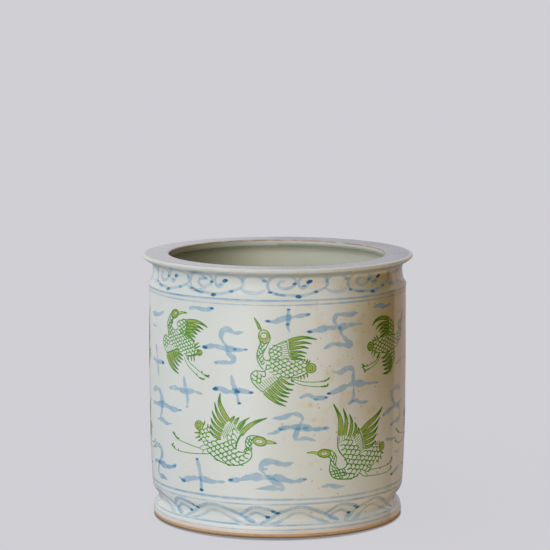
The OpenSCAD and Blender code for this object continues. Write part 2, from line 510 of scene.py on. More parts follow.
def stroke(points, width, ink=0.5, taper=(1.0, 1.0), step=0.4, swell=0.0):
    """A brush stroke as samples of (s, z, half width, ink), through (s, z) or (s, z, width)."""
    rows = [(*p[:2], p[2] if len(p) > 2 else width) for p in points]
    path = smooth(rows, step)
    run = np.concatenate([[0], np.cumsum(np.linalg.norm(np.diff(path[:, :2], axis=0), axis=1))])
    # The brush swells and thins on its way, in two wave lengths that don't fall together.
    half = path[:, 2] / 2 * (1 + swell * np.sin(run / 2.9 + points[0][0] * 1.7)
                             + swell * 0.5 * np.sin(run / 1.3 + points[0][1]))
    from_start = np.clip(run / (half * 2.5 * taper[0] + 1e-6), 0, 1)
    from_end = np.clip((run[-1] - run) / (half * 2.5 * taper[1] + 1e-6), 0, 1)
    full = np.sqrt(1 - (1 - from_start)**2) * np.sqrt(1 - (1 - from_end)**2)
    start, end = ink if isinstance(ink, tuple) else (ink, ink)
    inks = start + (end - start) * run / run[-1]
    return np.stack([path[:, 0], path[:, 1], half * (0.22 + 0.78 * full), inks], 1)


def dab(s, z, width, ink=1.1, lean=0.0):
    """A dark touch of a loaded brush."""
    return stroke([(s - width * 0.6, z - lean), (s, z), (s + width * 0.6, z + lean)], width, ink,
                  (0.7, 0.7), 0.3)


def wobble(s, z):
    return (np.sin(1.9 * s + 0.7 * z) * np.sin(1.3 * z - 0.8 * s + 1)
            + 0.6 * np.sin(4.1 * s - 2.3 * z) * np.sin(3.7 * z + 1.1 * s))


class Sheet:
    """Painted places on the glaze, gathered for one mesh, with the ink at every point."""

    def __init__(self, lift):
        self.lift, self.places, self.normals, self.inks, self.faces = lift, [], [], [], []
        self.count = 0

    def paint(self, strokes, cell, window=None):
        """Paints a group of strokes that may cross, inside a window of (lowest s, highest s)."""
        every = np.vstack(strokes)
        reach = every[:, 2].max() + 2 * cell
        low, high = every[:, :2].min(0) - reach, every[:, :2].max(0) + reach
        if window:
            low[0], high[0] = window
        across = max(2, int(np.ceil((high[0] - low[0]) / cell)) + 1)
        up = max(2, int(np.ceil((high[1] - low[1]) / cell)) + 1)
        gs, gz = np.linspace(low[0], high[0], across), np.linspace(low[1], high[1], up)
        s, z = np.meshgrid(gs, gz, indexing="ij")
        clear = np.ones_like(s)
        rough = 0.10 * wobble(s, z)
        for line in strokes:
            edge = line[:, 2].max() + 2 * cell
            near_s = np.where((gs > line[:, 0].min() - edge) & (gs < line[:, 0].max() + edge))[0]
            near_z = np.where((gz > line[:, 1].min() - edge) & (gz < line[:, 1].max() + edge))[0]
            if not len(near_s) or not len(near_z):
                continue
            here = np.ix_(near_s, near_z)
            apart = np.hypot(s[here][..., None] - line[:, 0], z[here][..., None] - line[:, 1])
            nearness = apart / line[:, 2]
            best = nearness.argmin(-1)
            t = np.take_along_axis(nearness, best[..., None], -1)[..., 0] + rough[here]
            # The wash ends softly, and dries a little darker towards its edge.
            soft = np.clip((1.12 - t) / 0.5, 0, 1)
            mask = soft * soft * (3 - 2 * soft)
            pooled = 0.76 + 0.36 * np.clip(t, 0, 1)**3
            clear[here] *= 1 - np.clip(line[best, 3] * mask * pooled, 0, 0.97)
        ink = 1 - clear
        wet = ink > 0.012
        keep = wet[:-1, :-1] | wet[1:, :-1] | wet[:-1, 1:] | wet[1:, 1:]
        used = np.zeros_like(wet)
        for a, b in ((0, 0), (1, 0), (0, 1), (1, 1)):
            used[a:across - 1 + a, b:up - 1 + b] |= keep
        number = np.full(s.shape, -1)
        number[used] = np.arange(used.sum()) + self.count
        i, j = np.where(keep)
        self.faces.append(np.stack([number[i, j], number[i + 1, j], number[i + 1, j + 1],
                                    number[i, j + 1]], 1))
        lifts = self.lift * np.clip(ink[used] * 12, -0.3, 1) - 0.004 * (ink[used] < 0.012)
        place, normal = on_pot(s[used], z[used], lifts)
        self.places.append(place)
        self.normals.append(normal)
        self.inks.append(ink[used])
        self.count += int(used.sum())

    def ribbon(self, samples, crown=0.0, columns=3):
        """Lays a stroke down as a ribbon that is thickest along its middle."""
        path, half = samples[:, :2], samples[:, 2]
        along = np.gradient(path, axis=0)
        along /= np.linalg.norm(along, axis=1)[:, None] + 1e-9
        side = np.stack([-along[:, 1], along[:, 0]], 1)
        t = np.linspace(1, -1, columns)
        s = path[:, :1] + side[:, :1] * half[:, None] * t
        z = path[:, 1:2] + side[:, 1:] * half[:, None] * t
        lifts = self.lift + crown * (1 - t**2) - (self.lift + 0.006) * (abs(t) > 0.99)
        place, normal = on_pot(s.ravel(), z.ravel(), np.tile(lifts, len(path)))
        n = np.arange(len(path) - 1)[:, None] * columns + np.arange(columns - 1) + self.count
        n = n.ravel()
        self.faces.append(np.stack([n, n + 1, n + columns + 1, n + columns], 1))
        self.places.append(place)
        self.normals.append(normal)
        self.inks.append(np.repeat(samples[:, 3], columns))
        self.count += len(s.ravel())

    def mesh(self, name):
        """The gathered places as one mesh that takes its shading from the glaze beneath."""
        mesh = bpy.data.meshes.new(name)
        places, faces = np.vstack(self.places), np.vstack(self.faces)
        normals = np.vstack(self.normals)
        corner = places[faces]
        facing = np.cross(corner[:, 1] - corner[:, 0], corner[:, 3] - corner[:, 0])
        inward = (facing * normals[faces[:, 0]]).sum(1) < 0
        faces[inward] = faces[inward][:, ::-1]
        mesh.from_pydata(places.tolist(), [], faces.tolist())
        mesh.attributes.new("ink", "FLOAT", "POINT").data.foreach_set(
            "value", np.concatenate(self.inks).astype(np.float32))
        mesh.shade_smooth()
        mesh.normals_split_custom_set_from_vertices(normals.tolist())
        return mesh


def fixed(piece):
    """Fixes a piece of painting to the pot."""
    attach(piece, "root")


def placed(name, sheet, finish):
    """A sheet as a finished piece of painting."""
    mesh = sheet.mesh(name)
    mesh.materials.append(finish)
    fixed(added(name, mesh))


def ink_at(where):
    """How thick the paint lies, from the mesh."""
    return where.node("ShaderNodeAttribute", {"attribute_name": "ink"}).out("Fac")


cobalt, tree, shader, where = material("cobalt_under_the_glaze", 0.1, IOR=1.5)
grainy, drift = where.noise(700, 3) - 0.5, where.noise(150, 3) - 0.5
ink = ink_at(where) * (1 + grainy * 0.35 + drift * 1.7)
colour = glaze_colour(where, WHITE, POOLED)
colour = colour.tint((0.34, 0.455, 0.545), ink.between(0.02, 0.36))
colour = colour.tint((0.13, 0.32, 0.49), ink.between(0.34, 0.66))
colour = colour.tint((0.006, 0.12, 0.275), ink.between(0.60, 0.90))
# The pale blue darkens with the toning of age and the painted shade on the right
colour = colour.tint((0.05, 0.045, 0.015), toning_and_right_shade(where) * ink.between(0.02, 0.36) * 0.5)
feed(tree, shader, Base_Color=colour, Normal=glaze_bump(where))


def repeating_tree():
    """A node tree that sets a painted unit down at every given place round the pot."""
    tree, given, new, link = tree_with("set_round_the_pot", ("Places", "Geometry"),
                                       ("Unit", "Object"))
    points = new("GeometryNodeMeshToPoints")
    link(given["Places"], points.inputs["Mesh"])
    turn = new("GeometryNodeInputNamedAttribute")
    turn.data_type = "FLOAT"
    turn.inputs["Name"].default_value = "turn"
    angles = new("ShaderNodeCombineXYZ")
    link(turn.outputs[0], angles.inputs["Z"])
    unit = new("GeometryNodeObjectInfo")
    link(given["Unit"], unit.inputs["Object"])
    centre = new("GeometryNodeSetPosition")
    axis = new("ShaderNodeCombineXYZ")
    link(axis.outputs[0], centre.inputs["Position"])
    link(points.outputs[0], centre.inputs["Geometry"])
    each = new("GeometryNodeInstanceOnPoints")
    link(centre.outputs[0], each.inputs["Points"])
    link(unit.outputs["Geometry"], each.inputs["Instance"])
    link(angles.outputs[0], each.inputs["Rotation"])
    end_tree(given, new, link, each.outputs[0])
    return tree


repeating = repeating_tree()


def border(name, sheet, places):
    """A border of one painted unit, set down with its middle at each place, in mm round."""
    unit = added(name + "_unit", sheet.mesh(name + "_unit"))
    mesh = bpy.data.meshes.new(name + "_places")
    mesh.from_pydata([(p * MM, 0, 0) for p in places], [], [])
    mesh.attributes.new("turn", "FLOAT", "POINT").data.foreach_set(
        "value", [p / GIRTH_R for p in places])
    piece = made_by(repeating, name, mesh, cobalt, unit=unit)
    bpy.data.objects.remove(unit)
    fixed(piece)


# The scroll border in the hollow of the neck: facing curls over a long dipped line, with a dark
# touch at each end and under the middle, and an open link between one pair and the next.
scrolls = Sheet(WASH_LIFT)
PALE = 0.34
scrolls.paint([
    stroke([(-20.5, 178.3), (-22.3, 181.5), (-21.8, 185.5), (-18, 189), (-12, 190.7), (-6, 190),
            (-2.3, 187.3), (-2.3, 183.6), (-6, 181), (-11, 180.4), (-14.3, 182.6), (-13, 185.4),
            (-9.6, 185.6)], 2.6, (0.39, 0.31)),
    stroke([(20, 180.2), (22.5, 183), (21.6, 186.6), (17.5, 189.4), (11, 190.7), (5, 190),
            (1, 187.2), (0.4, 183.4), (3, 180.8), (6, 181.6), (8, 184)], 2.5, PALE),
    stroke([(-20.5, 178.3), (-14, 176.4), (-5, 176), (0, 175.4), (7, 176.3), (14, 178.2),
            (20.5, 180.4)], 2.4, PALE),
    stroke([(20.5, 180), (25, 177.9), (30, 177.2), (35, 177.7), (39, 179.4)], 3.0, 0.28),
    stroke([(21, 184), (23, 187.5), (27, 190), (32, 190.3), (36, 188.6), (38.6, 185.5)], 3.4, 0.29),
    dab(0, 174.9, 2.9), dab(-20.6, 178, 2.2, 0.9), dab(-2.5, 184, 2.2, 0.8),
    dab(8.4, 185.2, 3.1, 1.15, 0.5), dab(4.4, 182.4, 2.2, 0.6, 0.5), dab(13.5, 177.9, 2.4, 0.75),
    stroke([(-17, 177), (-13, 176.2), (-9, 175.9)], 1.7, 0.6), dab(38.5, 186, 2.6, 0.5),
], BORDER_CELL)
border("neck_scrolls", scrolls, [-94.5, -48, 15, 77, 137.8, 198.6, 259.4, 320, 381, 441.7])

# The wave border round the waist and foot: a small double arch, then a large one, nine times.
WAVE = ROUND_MM / 9
waves = [
    stroke([(-13.5, 15.8), (-9, 18.4), (-5, 21.4), (0, 22.7), (5, 22), (11, 20.4), (16, 18)], 2.9,
           (0.36, 0.50)),
    stroke([(-9.5, 13.6), (-5, 16.2), (0, 17.9), (4, 16.7), (8, 14.9)], 2.6, (0.30, 0.46)),
    stroke([(-10, 12.6), (-5, 11.4), (0, 10), (5, 9.2)], 1.6, 0.24),
    stroke([(3, 10), (9.5, 13), (16.5, 17.6), (21, 19.8), (26, 21.8), (32, 22.6), (38, 21.9),
            (45, 19.6), (52, 16.4), (59, 13.2), (65, 11)], 3.0, (0.32, 0.42)),
    stroke([(9, 9.6), (15, 10.8), (22, 13.8), (27, 16.8), (32, 17.9), (37, 16.6), (44, 13.8),
            (51, 11.2), (57, 9.4)], 2.5, 0.28),
    dab(16, 17.9, 2.6), dab(8.4, 14.8, 2.6), dab(12.5, 19.4, 2.2, 0.7, -0.5),
]
foot_waves = Sheet(WASH_LIFT)
foot_waves.paint(
    [line + [shift * WAVE, 0, 0, 0] for shift in (-1, 0, 1) for line in waves], BORDER_CELL,
    (-0.25 * WAVE, 0.75 * WAVE))
border("foot_waves", foot_waves, [-16 + WAVE * n for n in range(9)])

# Pairs of lines above and below the wall, and under the waves, run on with the pot on the wheel.
# A line's ink rises from each edge, through a point part of the way in, to its middle.
rounds = Sheet(WASH_LIFT)
STEPS = 480  # places along each line
LINE_LIFT, SUNK = 0.024, -0.004
places_round = np.linspace(-ROUND_MM / 2, ROUND_MM / 2, STEPS + 1)
turn = places_round / GIRTH_R
for height, width, strength in ((172.3, 2.0, 0.5), (169.1, 1.5, 0.38), (28.5, 2.5, 0.38),
                                (24.9, 2.1, 0.34), (9.2, 1.6, 0.38), (6.0, 1.5, 0.34)):
    sway = 0.12 * np.sin(3 * turn + height) + 0.07 * np.sin(8 * turn + 2 * height)
    load = strength * (1 + 0.22 * np.sin(2 * turn + height) + 0.12 * np.sin(13 * turn))
    wide = width / 2 * (1.15 + 0.12 * np.sin(5 * turn + height))
    for side in (-1, 1):
        for strip in (((1.0, 0, SUNK), (0.6, 0.45, LINE_LIFT)),
                      ((0.6, 0.45, LINE_LIFT), (0.0, 1.0, LINE_LIFT))):
            for out, ink, lift in strip:
                place, normal = on_pot(places_round, height + sway + side * wide * out,
                                       np.full(STEPS + 1, lift))
                rounds.places.append(place)
                rounds.normals.append(normal)
                rounds.inks.append(load * ink)
            n = np.arange(STEPS) + rounds.count
            rounds.faces.append(np.stack([n, n + 1, n + STEPS + 2, n + STEPS + 1], 1))
            rounds.count += 2 * (STEPS + 1)
placed("painted_rounds", rounds, cobalt)

# ------------------------------------------------------------------------------------------------
# The clouds on the wall: bars, crosses and bent ribbons of pale wash, in the same cobalt.
# Each was made with three or four touches of a soft round brush.
# ------------------------------------------------------------------------------------------------
CLOUDS = [
    [([(-69, 163.6), (-63, 164.6), (-55, 163.8), (-47.5, 165.2)], 3.2, 0.40), (-49, 165.2, 2.2)],
    [([(-122, 154), (-113, 154.2), (-107, 154.8), (-100.5, 157.4)], 3.4, 0.38),
     ([(-121, 145.4), (-112, 145)], 2.6, 0.34)],
    [([(-113.5, 131.5), (-111.5, 125), (-110, 118), (-109, 109)], 3.0, 0.34),
     ([(-121, 121), (-112, 119.6), (-104, 120.2), (-99, 119.8)], 2.8, 0.42), (-101, 120, 2.4)],
    [([(-74.8, 113.5), (-73.4, 106), (-71.2, 98), (-71.8, 91.6)], 3.6, 0.36),
     ([(-92, 102.8), (-84, 103.8), (-74, 102.8), (-66, 103.6), (-57.5, 102.6)], 3.0, 0.38),
     (-71.8, 91.6, 1.7, 0.7)],
    [([(-24.5, 149.6, 1.6), (-31, 148.6), (-36.5, 151), (-40.8, 148.6), (-41, 143.6),
       (-37.5, 139)], 3.6, 0.40),
     ([(-55, 137), (-47, 138.2), (-39, 137.2), (-30, 136.6), (-21.5, 137)], 3.4, 0.46),
     ([(-37.5, 138), (-35.6, 133.4), (-31.8, 130.4), (-33.5, 127.2), (-39, 127), (-46.5, 126.3)],
      3.2, 0.40), (-54.8, 136.8, 3.2), (-23, 137, 1.8, 0.85), (-31, 136.8, 2.2, 0.6),
     (-45.6, 126.4, 1.7, 0.6)],
    [([(62.5, 161.2, 1.3), (55, 160.2), (49, 160.8), (43.6, 160.8), (41.6, 157), (44.4, 152.4)],
      2.9, 0.40),
     ([(21, 149.8), (30, 151), (37, 152), (45, 151.6), (54, 152.8), (66, 152.8, 1.6)], 3.0, 0.42),
     ([(45.6, 151.6), (48, 146), (52.6, 141.2), (54.6, 138.6), (46, 139.4), (40, 140),
       (33.5, 137.2)], 2.8, 0.40), (23, 149.8, 2.6), (46, 151.8, 2.4, 0.6)],
    [([(7.3, 166.6), (7.8, 160), (7.2, 154.6), (8.6, 149.4, 1.8)], 3.0, 0.48),
     ([(-9, 157.8), (-2, 157.4), (4, 159.6), (12, 160.8), (23, 162.4)], 3.1, 0.40),
     (-6.8, 157.8, 2.2, 0.7), (21.4, 162.2, 2.4, 0.85), (7.2, 155.4, 2.2, 0.85), (7.8, 166, 1.8)],
    [([(77, 163.4), (84, 164.2), (90, 162.8), (99, 163.6)], 2.9, 0.40)],
    [([(110, 155.6), (116, 156), (121, 157.4)], 2.6, 0.34)],
    [([(-33.6, 118), (-32.4, 112), (-29.6, 105), (-28, 97.8)], 3.2, 0.44),
     ([(-48, 107), (-42.5, 107.8), (-36, 106), (-27, 107.2), (-17.6, 106)], 3.4, 0.46),
     (-46, 107.4, 3.0, 0.9), (-19, 106.2, 2.4, 0.9), (-27.6, 98, 2.0, 0.8), (-29, 106.4, 3, 0.6)],
    [([(16, 102.6), (22, 104.4), (27, 102), (36.5, 101.8)], 3.4, 0.42), (27.6, 101, 2.2, 0.8),
     (35, 101.8, 1.7, 0.7)],
    [([(39.5, 120.4, 1.6), (46, 119.2), (52, 121.8), (57.4, 120.4), (57.4, 115), (57.2, 110)],
      3.0, 0.38),
     ([(36, 104.4), (43, 105.8), (50, 108.4), (57.6, 110.2), (66, 109.4), (83, 108.2, 1.3)], 3.1,
      0.42),
     ([(57.6, 110), (58, 103.6), (57, 98.6), (54, 96.2)], 2.7, 0.38),
     ([(53, 95.6), (60, 97.6), (64, 95.8), (72, 95.4, 1.4)], 2.9, 0.40), (37.4, 104.6, 2.2, 0.85),
     (58, 97.6, 2.2, 0.6)],
    [([(106, 118.2), (112, 119.2), (121, 121)], 3.0, 0.38)],
    [([(-122, 97), (-112, 99.4), (-105.4, 97.4), (-103.4, 91), (-104, 84), (-107, 78.4)], 3.6,
      0.36),
     ([(-121, 87.8), (-110, 88.4), (-99, 89.4), (-88, 87.8), (-77, 88.4, 1.6)], 3.2, 0.40),
     ([(-112, 76.8), (-103, 77.6), (-97, 76), (-88.5, 76.8, 1.5)], 2.8, 0.36),
     (-78.6, 88.2, 1.6, 0.6)],
    [([(-4, 87.8, 1.6), (4, 88.6), (11, 91.2), (16.6, 89.6), (18, 86.4)], 3.2, 0.38),
     ([(1, 80.6), (10, 81.4), (18, 81.2), (27, 79.4), (37, 79.6)], 3.6, 0.56),
     ([(-8, 76.8, 1.6), (-3, 77.2), (3, 80)], 2.9, 0.36),
     ([(17.6, 86.6), (14.6, 80), (12.8, 74.6), (14.6, 72.4), (20, 73), (28, 70.8, 1.4)], 2.9,
      0.40), (34.6, 79.5, 1.9, 0.9), (20, 80.8, 3, 0.62)],
    [([(11.5, 55.4, 1.3), (4, 54.4), (-4, 56.6), (-10.8, 55), (-12, 51), (-8.4, 46.6)], 3.9, 0.42),
     ([(-36.5, 41.4), (-28, 42.6), (-20, 44.8), (-10, 45), (0, 44.8), (11, 41.8), (20.4, 43.4)],
      3.4, 0.40),
     ([(-8, 46.4), (-3.4, 42.4), (2.4, 39.2), (3, 36.4), (-5, 37.2), (-16.5, 36.2, 1.5)], 2.9,
      0.38), (-34.6, 41.8, 2.4, 0.9), (20, 43.1, 1.8, 0.95), (-9, 51, 2.6, 0.56)],
    [([(-122, 54.6), (-114, 57.2), (-106.4, 56), (-105.4, 51), (-109, 45.8)], 3.7, 0.42),
     ([(-121, 44), (-110, 45), (-99, 43.8), (-92, 44.4), (-85.4, 46.6)], 3.2, 0.50),
     ([(-110, 45.8), (-113.4, 38.6), (-110.6, 34.8), (-104, 34.8), (-97, 33.4, 1.5)], 3.0, 0.40),
     (-109.6, 44.8, 4, 0.72), (-87, 45.8, 2, 0.66)],
    [([(-63, 55), (-61, 48), (-59.8, 40), (-59.4, 31.6)], 2.9, 0.42),
     ([(-82.4, 38.6), (-77, 37.2), (-70, 39.2), (-60, 40.6), (-50, 39.4), (-39.5, 40)], 3.0, 0.40),
     (-77, 36.8, 3.3, 0.95), (-62.8, 54.4, 2.0, 0.8), (-59.4, 32, 2.5, 0.9)],
    [([(32, 36.6), (38, 37.6), (44, 36.2), (51, 35.8)], 2.9, 0.40)],
    [([(118, 99), (110, 101), (102.4, 99.2), (101.4, 94), (107, 88.6)], 3.2, 0.36),
     ([(88.6, 83), (97, 85.4), (105, 87.4), (112, 87.6), (121, 90)], 3.0, 0.40),
     ([(112, 88), (117.6, 82), (116.4, 77), (108, 76), (99.5, 74)], 2.9, 0.38),
     (90, 83.2, 1.8, 0.6), (101, 74.4, 2, 0.6)],
    [([(93.5, 64.6), (100, 63.6), (108.5, 63.6)], 2.9, 0.42)],
    [([(108, 53), (114, 52), (119, 53.4)], 2.5, 0.34)],
    [([(102.5, 36.6), (110, 38.6), (120, 41)], 3.0, 0.40), (104, 36.8, 2.6, 0.85)],
]
# Clouds that fill the wall between the front and the back
FILL_CLOUDS = [
    [([(128, 160.6, 1.5), (135, 159.4), (141, 161.8), (146, 160), (145, 154.6), (149, 150.4)],
      3.2, 0.38),
     ([(126, 148.8), (134, 150.4), (145, 150.6), (154, 151.6), (163, 150.6)], 3.1, 0.42),
     (128, 149, 2.4, 0.85)],
    [([(139.6, 131), (141, 124), (143, 117), (142.6, 110.4)], 3.1, 0.38),
     ([(127, 120.4), (134, 119.4), (142, 120.6), (152, 120), (160, 121.4)], 3.0, 0.42),
     (129, 120.2, 2.4, 0.8), (142.8, 111.2, 1.9, 0.7)],
    [([(128, 104.6), (134, 103.2), (142, 104.4), (150, 103.4)], 3.0, 0.40)],
    [([(127, 41), (134, 40), (141, 42.2), (150, 40.6), (160, 42)], 3.1, 0.42),
     ([(141, 52.4), (143, 46), (142, 39), (143.6, 33.6)], 3.0, 0.38), (129, 40.6, 2.4, 0.85)],
]


def moved(lines, shift, mirror):
    """The same strokes shifted round the pot, or turned to face the other way first."""
    return [np.column_stack([shift + mirror * a[:, 0], a[:, 1:]]) for a in lines]


def strokes_of(cloud):
    """A cloud's washes, then its dark touches. The clouds far to the left were laid on heavier."""
    heavy = 1.3 if cloud[0][0][0][0] < -95 else 1.08
    return [stroke(part[0], part[1] * 1.5, part[2] * heavy, (3.4, 5.0), swell=0.36)
            if isinstance(part[0], list) else dab(*part) for part in cloud]


HALF = ROUND_MM / 2
CELL = 0.45  # mm between the points of the painted wash
sky = Sheet(WASH_LIFT)
for cloud in CLOUDS:
    sky.paint(strokes_of(cloud), CELL)
    sky.paint(moved(strokes_of(cloud), HALF, -1), CELL)
for cloud in FILL_CLOUDS:
    sky.paint(strokes_of(cloud), CELL)
sky.paint(moved(strokes_of(FILL_CLOUDS[-1]), -5, -1), CELL)
placed("painted_clouds", sky, cobalt)

# ------------------------------------------------------------------------------------------------
# The flying cranes, enamelled in green on top of the fired glaze and fired again, so that their
# lines stand a little proud. A yellow-green wash fills the flight feathers, heads and tails.
# ------------------------------------------------------------------------------------------------
def enamel(name, roughness, thin, thick, cells, uneven, spread, right_darkening):
    """A green enamel, from its thin to its thick colour. It is uneven, in cells to the metre."""
    made, tree, shader, where = material(name, roughness, IOR=1.52)
    ink = (ink_at(where) + (where.noise(cells, 3) - 0.5) * uneven).between(*spread)
    colour = where.plain(thin).tint(thick, ink)
    # Darker on the right with the toning of age and painted shade
    feed(tree, shader, Base_Color=colour.tint((0.03, 0.025, 0), toning_and_right_shade(where) * right_darkening))
    return made


green_line = enamel("green_enamel_line", 0.16, (0.13, 0.38, 0.02), (0.035, 0.20, 0.004), 260, 0.7,
                    (0.1, 0.95), 0.55)
green_wash = enamel("yellow_green_enamel", 0.14, (0.47, 0.48, 0.14), (0.20, 0.25, 0.02), 330, 0.8,
                    (0.05, 1.0), 0.6)

lines, washes, whites = Sheet(0.06), Sheet(0.013), Sheet(0.06)


GROWN, HEAVIER = 1.12, 1.38  # the scales against the sizes given, and their line


def inside_of(outline, s, z):
    """Whether a place lies inside an outline."""
    hit = False
    for (s0, z0), (s1, z1) in zip(outline, outline[1:] + outline[:1]):
        if (z0 > z) != (z1 > z) and s < s0 + (s1 - s0) * (z - z0) / (z1 - z0):
            hit = not hit
    return hit


class Crane:
    """One crane. Its shapes are drawn where its pose was set out, then shifted and mirrored."""

    def __init__(self, shift=0.0, mirror=1, lift=0.0, size=1.0, about=(0, 0)):
        self.shift, self.mirror, self.rise, self.size, self.about = shift, mirror, lift, size, about

    def _lay(self, sheet, samples, crown, columns):
        a = np.array(samples)
        a[:, 0] = self.shift + self.mirror * (self.about[0] + (a[:, 0] - self.about[0]) * self.size)
        a[:, 1] = self.rise + self.about[1] + (a[:, 1] - self.about[1]) * self.size
        sheet.ribbon(a, crown, columns)

    def line(self, points, width=0.8, ink=0.6, taper=(1, 1)):
        self._lay(lines, stroke(points, width, ink, taper, 0.5), 0.05, 3)

    def fill(self, points, width, ink=0.5):
        self._lay(washes, stroke(points, width, ink, (0.7, 0.7), 0.5), 0.008, 5)

    def feather(self, path, width):
        """A flight feather from its root to its tip: a wash, two edges and a dark tip."""
        n = len(path)
        shape = [1.12, 1.22, 1.08, 0.70, 0.12] if n > 3 else [1.1, 1.1, 0.12]
        widths = np.interp(np.linspace(0, 1, n), np.linspace(0, 1, len(shape)), shape) * width
        self.fill([(*p, w) for p, w in zip(path, widths)], width)
        along = np.gradient(np.array(path), axis=0)
        side = np.stack([-along[:, 1], along[:, 0]], 1)
        side /= np.linalg.norm(side, axis=1)[:, None]
        for sign in (1, -1):
            edge = [tuple(np.array(p) + sign * q * (w - 0.5) / 2)
                    for p, q, w in zip(path, side, widths)]
            edge[-1] = path[-1]
            self.line(edge, 0.72, (0.6, 0.9), (0.2, 1.4))
        late = [tuple(p) for p in smooth(path, 0.5)]
        self.line(late[int(len(late) * 0.55):], width * 0.45, 0.75, (3.5, 2.0))
        self.line(late[2:int(len(late) * 0.7)], 0.45, 0.35, (1.0, 3.0))

    def feathers(self, *each):
        """Flight feathers side by side, each from its path and its width."""
        for path, width in each:
            self.feather(path, width)

    def barbs(self, start, end, count, width=0.5, ink=0.4):
        """Short feathers side by side, from places along one line to places along another."""
        def along(path, t):
            p = np.array(path, float)
            run = np.concatenate([[0], np.cumsum(np.linalg.norm(np.diff(p, axis=0), axis=1))])
            return [np.interp(t * run[-1], run, p[:, k]) for k in (0, 1)]
        for k in range(count):
            t = k / (count - 1)
            a, b = along(start, t), along(end, t)
            middle = ((a[0] + b[0]) / 2 + (b[1] - a[1]) * 0.05, (a[1] + b[1]) / 2)
            self.line([tuple(a), middle, tuple(b)], width, ink, (0.3, 0.5))

    def scales(self, outline, angle, long=3.0, wide=2.7, width=0.5, ink=0.45):
        """Rows of scale-like feathers inside an outline, with their tips towards the angle."""
        c, w = math.cos(math.radians(angle)), math.sin(math.radians(angle))
        long, wide, width = long * GROWN, wide * GROWN, width * HEAVIER
        centre = np.mean(outline, axis=0)
        reach = max(np.hypot(*(np.array(p) - centre)) for p in outline) + long
        rows, across = int(reach / (long * 0.72)) + 1, int(reach / wide) + 1
        for i in range(-rows, rows + 1):
            for j in range(-across, across + 1):
                u = i * long * 0.72 + 0.25 * math.sin(j * 2.3 + i)
                v = (j + (i % 2) / 2) * wide + 0.25 * math.sin(i * 1.7 + j * 3.1)
                s, z = centre[0] + u * c - v * w, centre[1] + u * w + v * c
                if not inside_of(outline, s, z):
                    continue
                half, tip = wide * 0.5, long * 0.55
                bow = [(-tip * 0.75, -half), (tip * 0.25, -half * 0.88), (tip, 0),
                       (tip * 0.25, half * 0.88), (-tip * 0.75, half)]
                self.line([(s + a * c - b * w, z + a * w + b * c) for a, b in bow], width,
                          ink + 0.08, (0.3, 0.3))

    def oval(self, s, z, wide, high, width=0.6, ink=0.6, lean=0.0, wash=None):
        """An oval outline, with a wash inside it if that is given."""
        c, w = math.cos(math.radians(lean)), math.sin(math.radians(lean))
        if wash is not None:
            across = ((-1, 0.7), (-0.55, 1.7), (0, 2), (0.55, 1.7), (1, 0.7))
            self.fill([(s + wide * a * c, z + wide * a * w, high * b) for a, b in across], high,
                      wash)
        ring = [(s + wide * math.cos(t) * c - high * math.sin(t) * w,
                 z + wide * math.cos(t) * w + high * math.sin(t) * c)
                for t in np.linspace(0, 2 * math.pi, 13)]
        self.line(ring, width, ink, (0.2, 0.2))

    def knob(self, s, z, wide, high, width=0.8, ink=0.6, lean=0.0, wash=0.45):
        """The round end of the tail, with a second ring inside it."""
        self.oval(s, z, wide, high, width, ink, lean, wash)
        self.oval(s - wide * 0.1, z, wide * 0.5, high * 0.5, 0.75, 0.5, lean)

    def eye(self, s, z, wide, high, lean=0.0):
        """The pale ring of the eye is the bare glaze's colour, round a dark point."""
        self._lay(whites, stroke([(s - wide, z), (s, z), (s + wide, z)], high * 2, 0.0, (0.6, 0.6),
                                 0.3), 0.01, 5)
        self.oval(s, z, wide, high, 0.45, 0.5, lean)
        self.line([(s - 0.6, z), (s, z), (s + 0.6, z)], 1.2, 0.85, (0.2, 0.2))

    def spikes(self, *pairs, width=1.5):
        """Little pointed feathers of the tail, each from its root to its point."""
        for root, point in pairs:
            middle = tuple((np.array(root) + point) / 2 + (0.15, 0.1))
            self.fill([(*root, width), (*middle, width * 0.9), (*point, 0.4)], width, 0.8)
            self.line([root, middle, point], 0.6, 0.85, (0.5, 1.5))

    def toes(self, *pairs):
        """The claws, each from its root to its point."""
        for root, point in pairs:
            middle = tuple((np.array(root) + point) / 2 + (0.3, -0.15))
            self.line([root, middle, point], 1.15, 0.8, (0.7, 1.2))


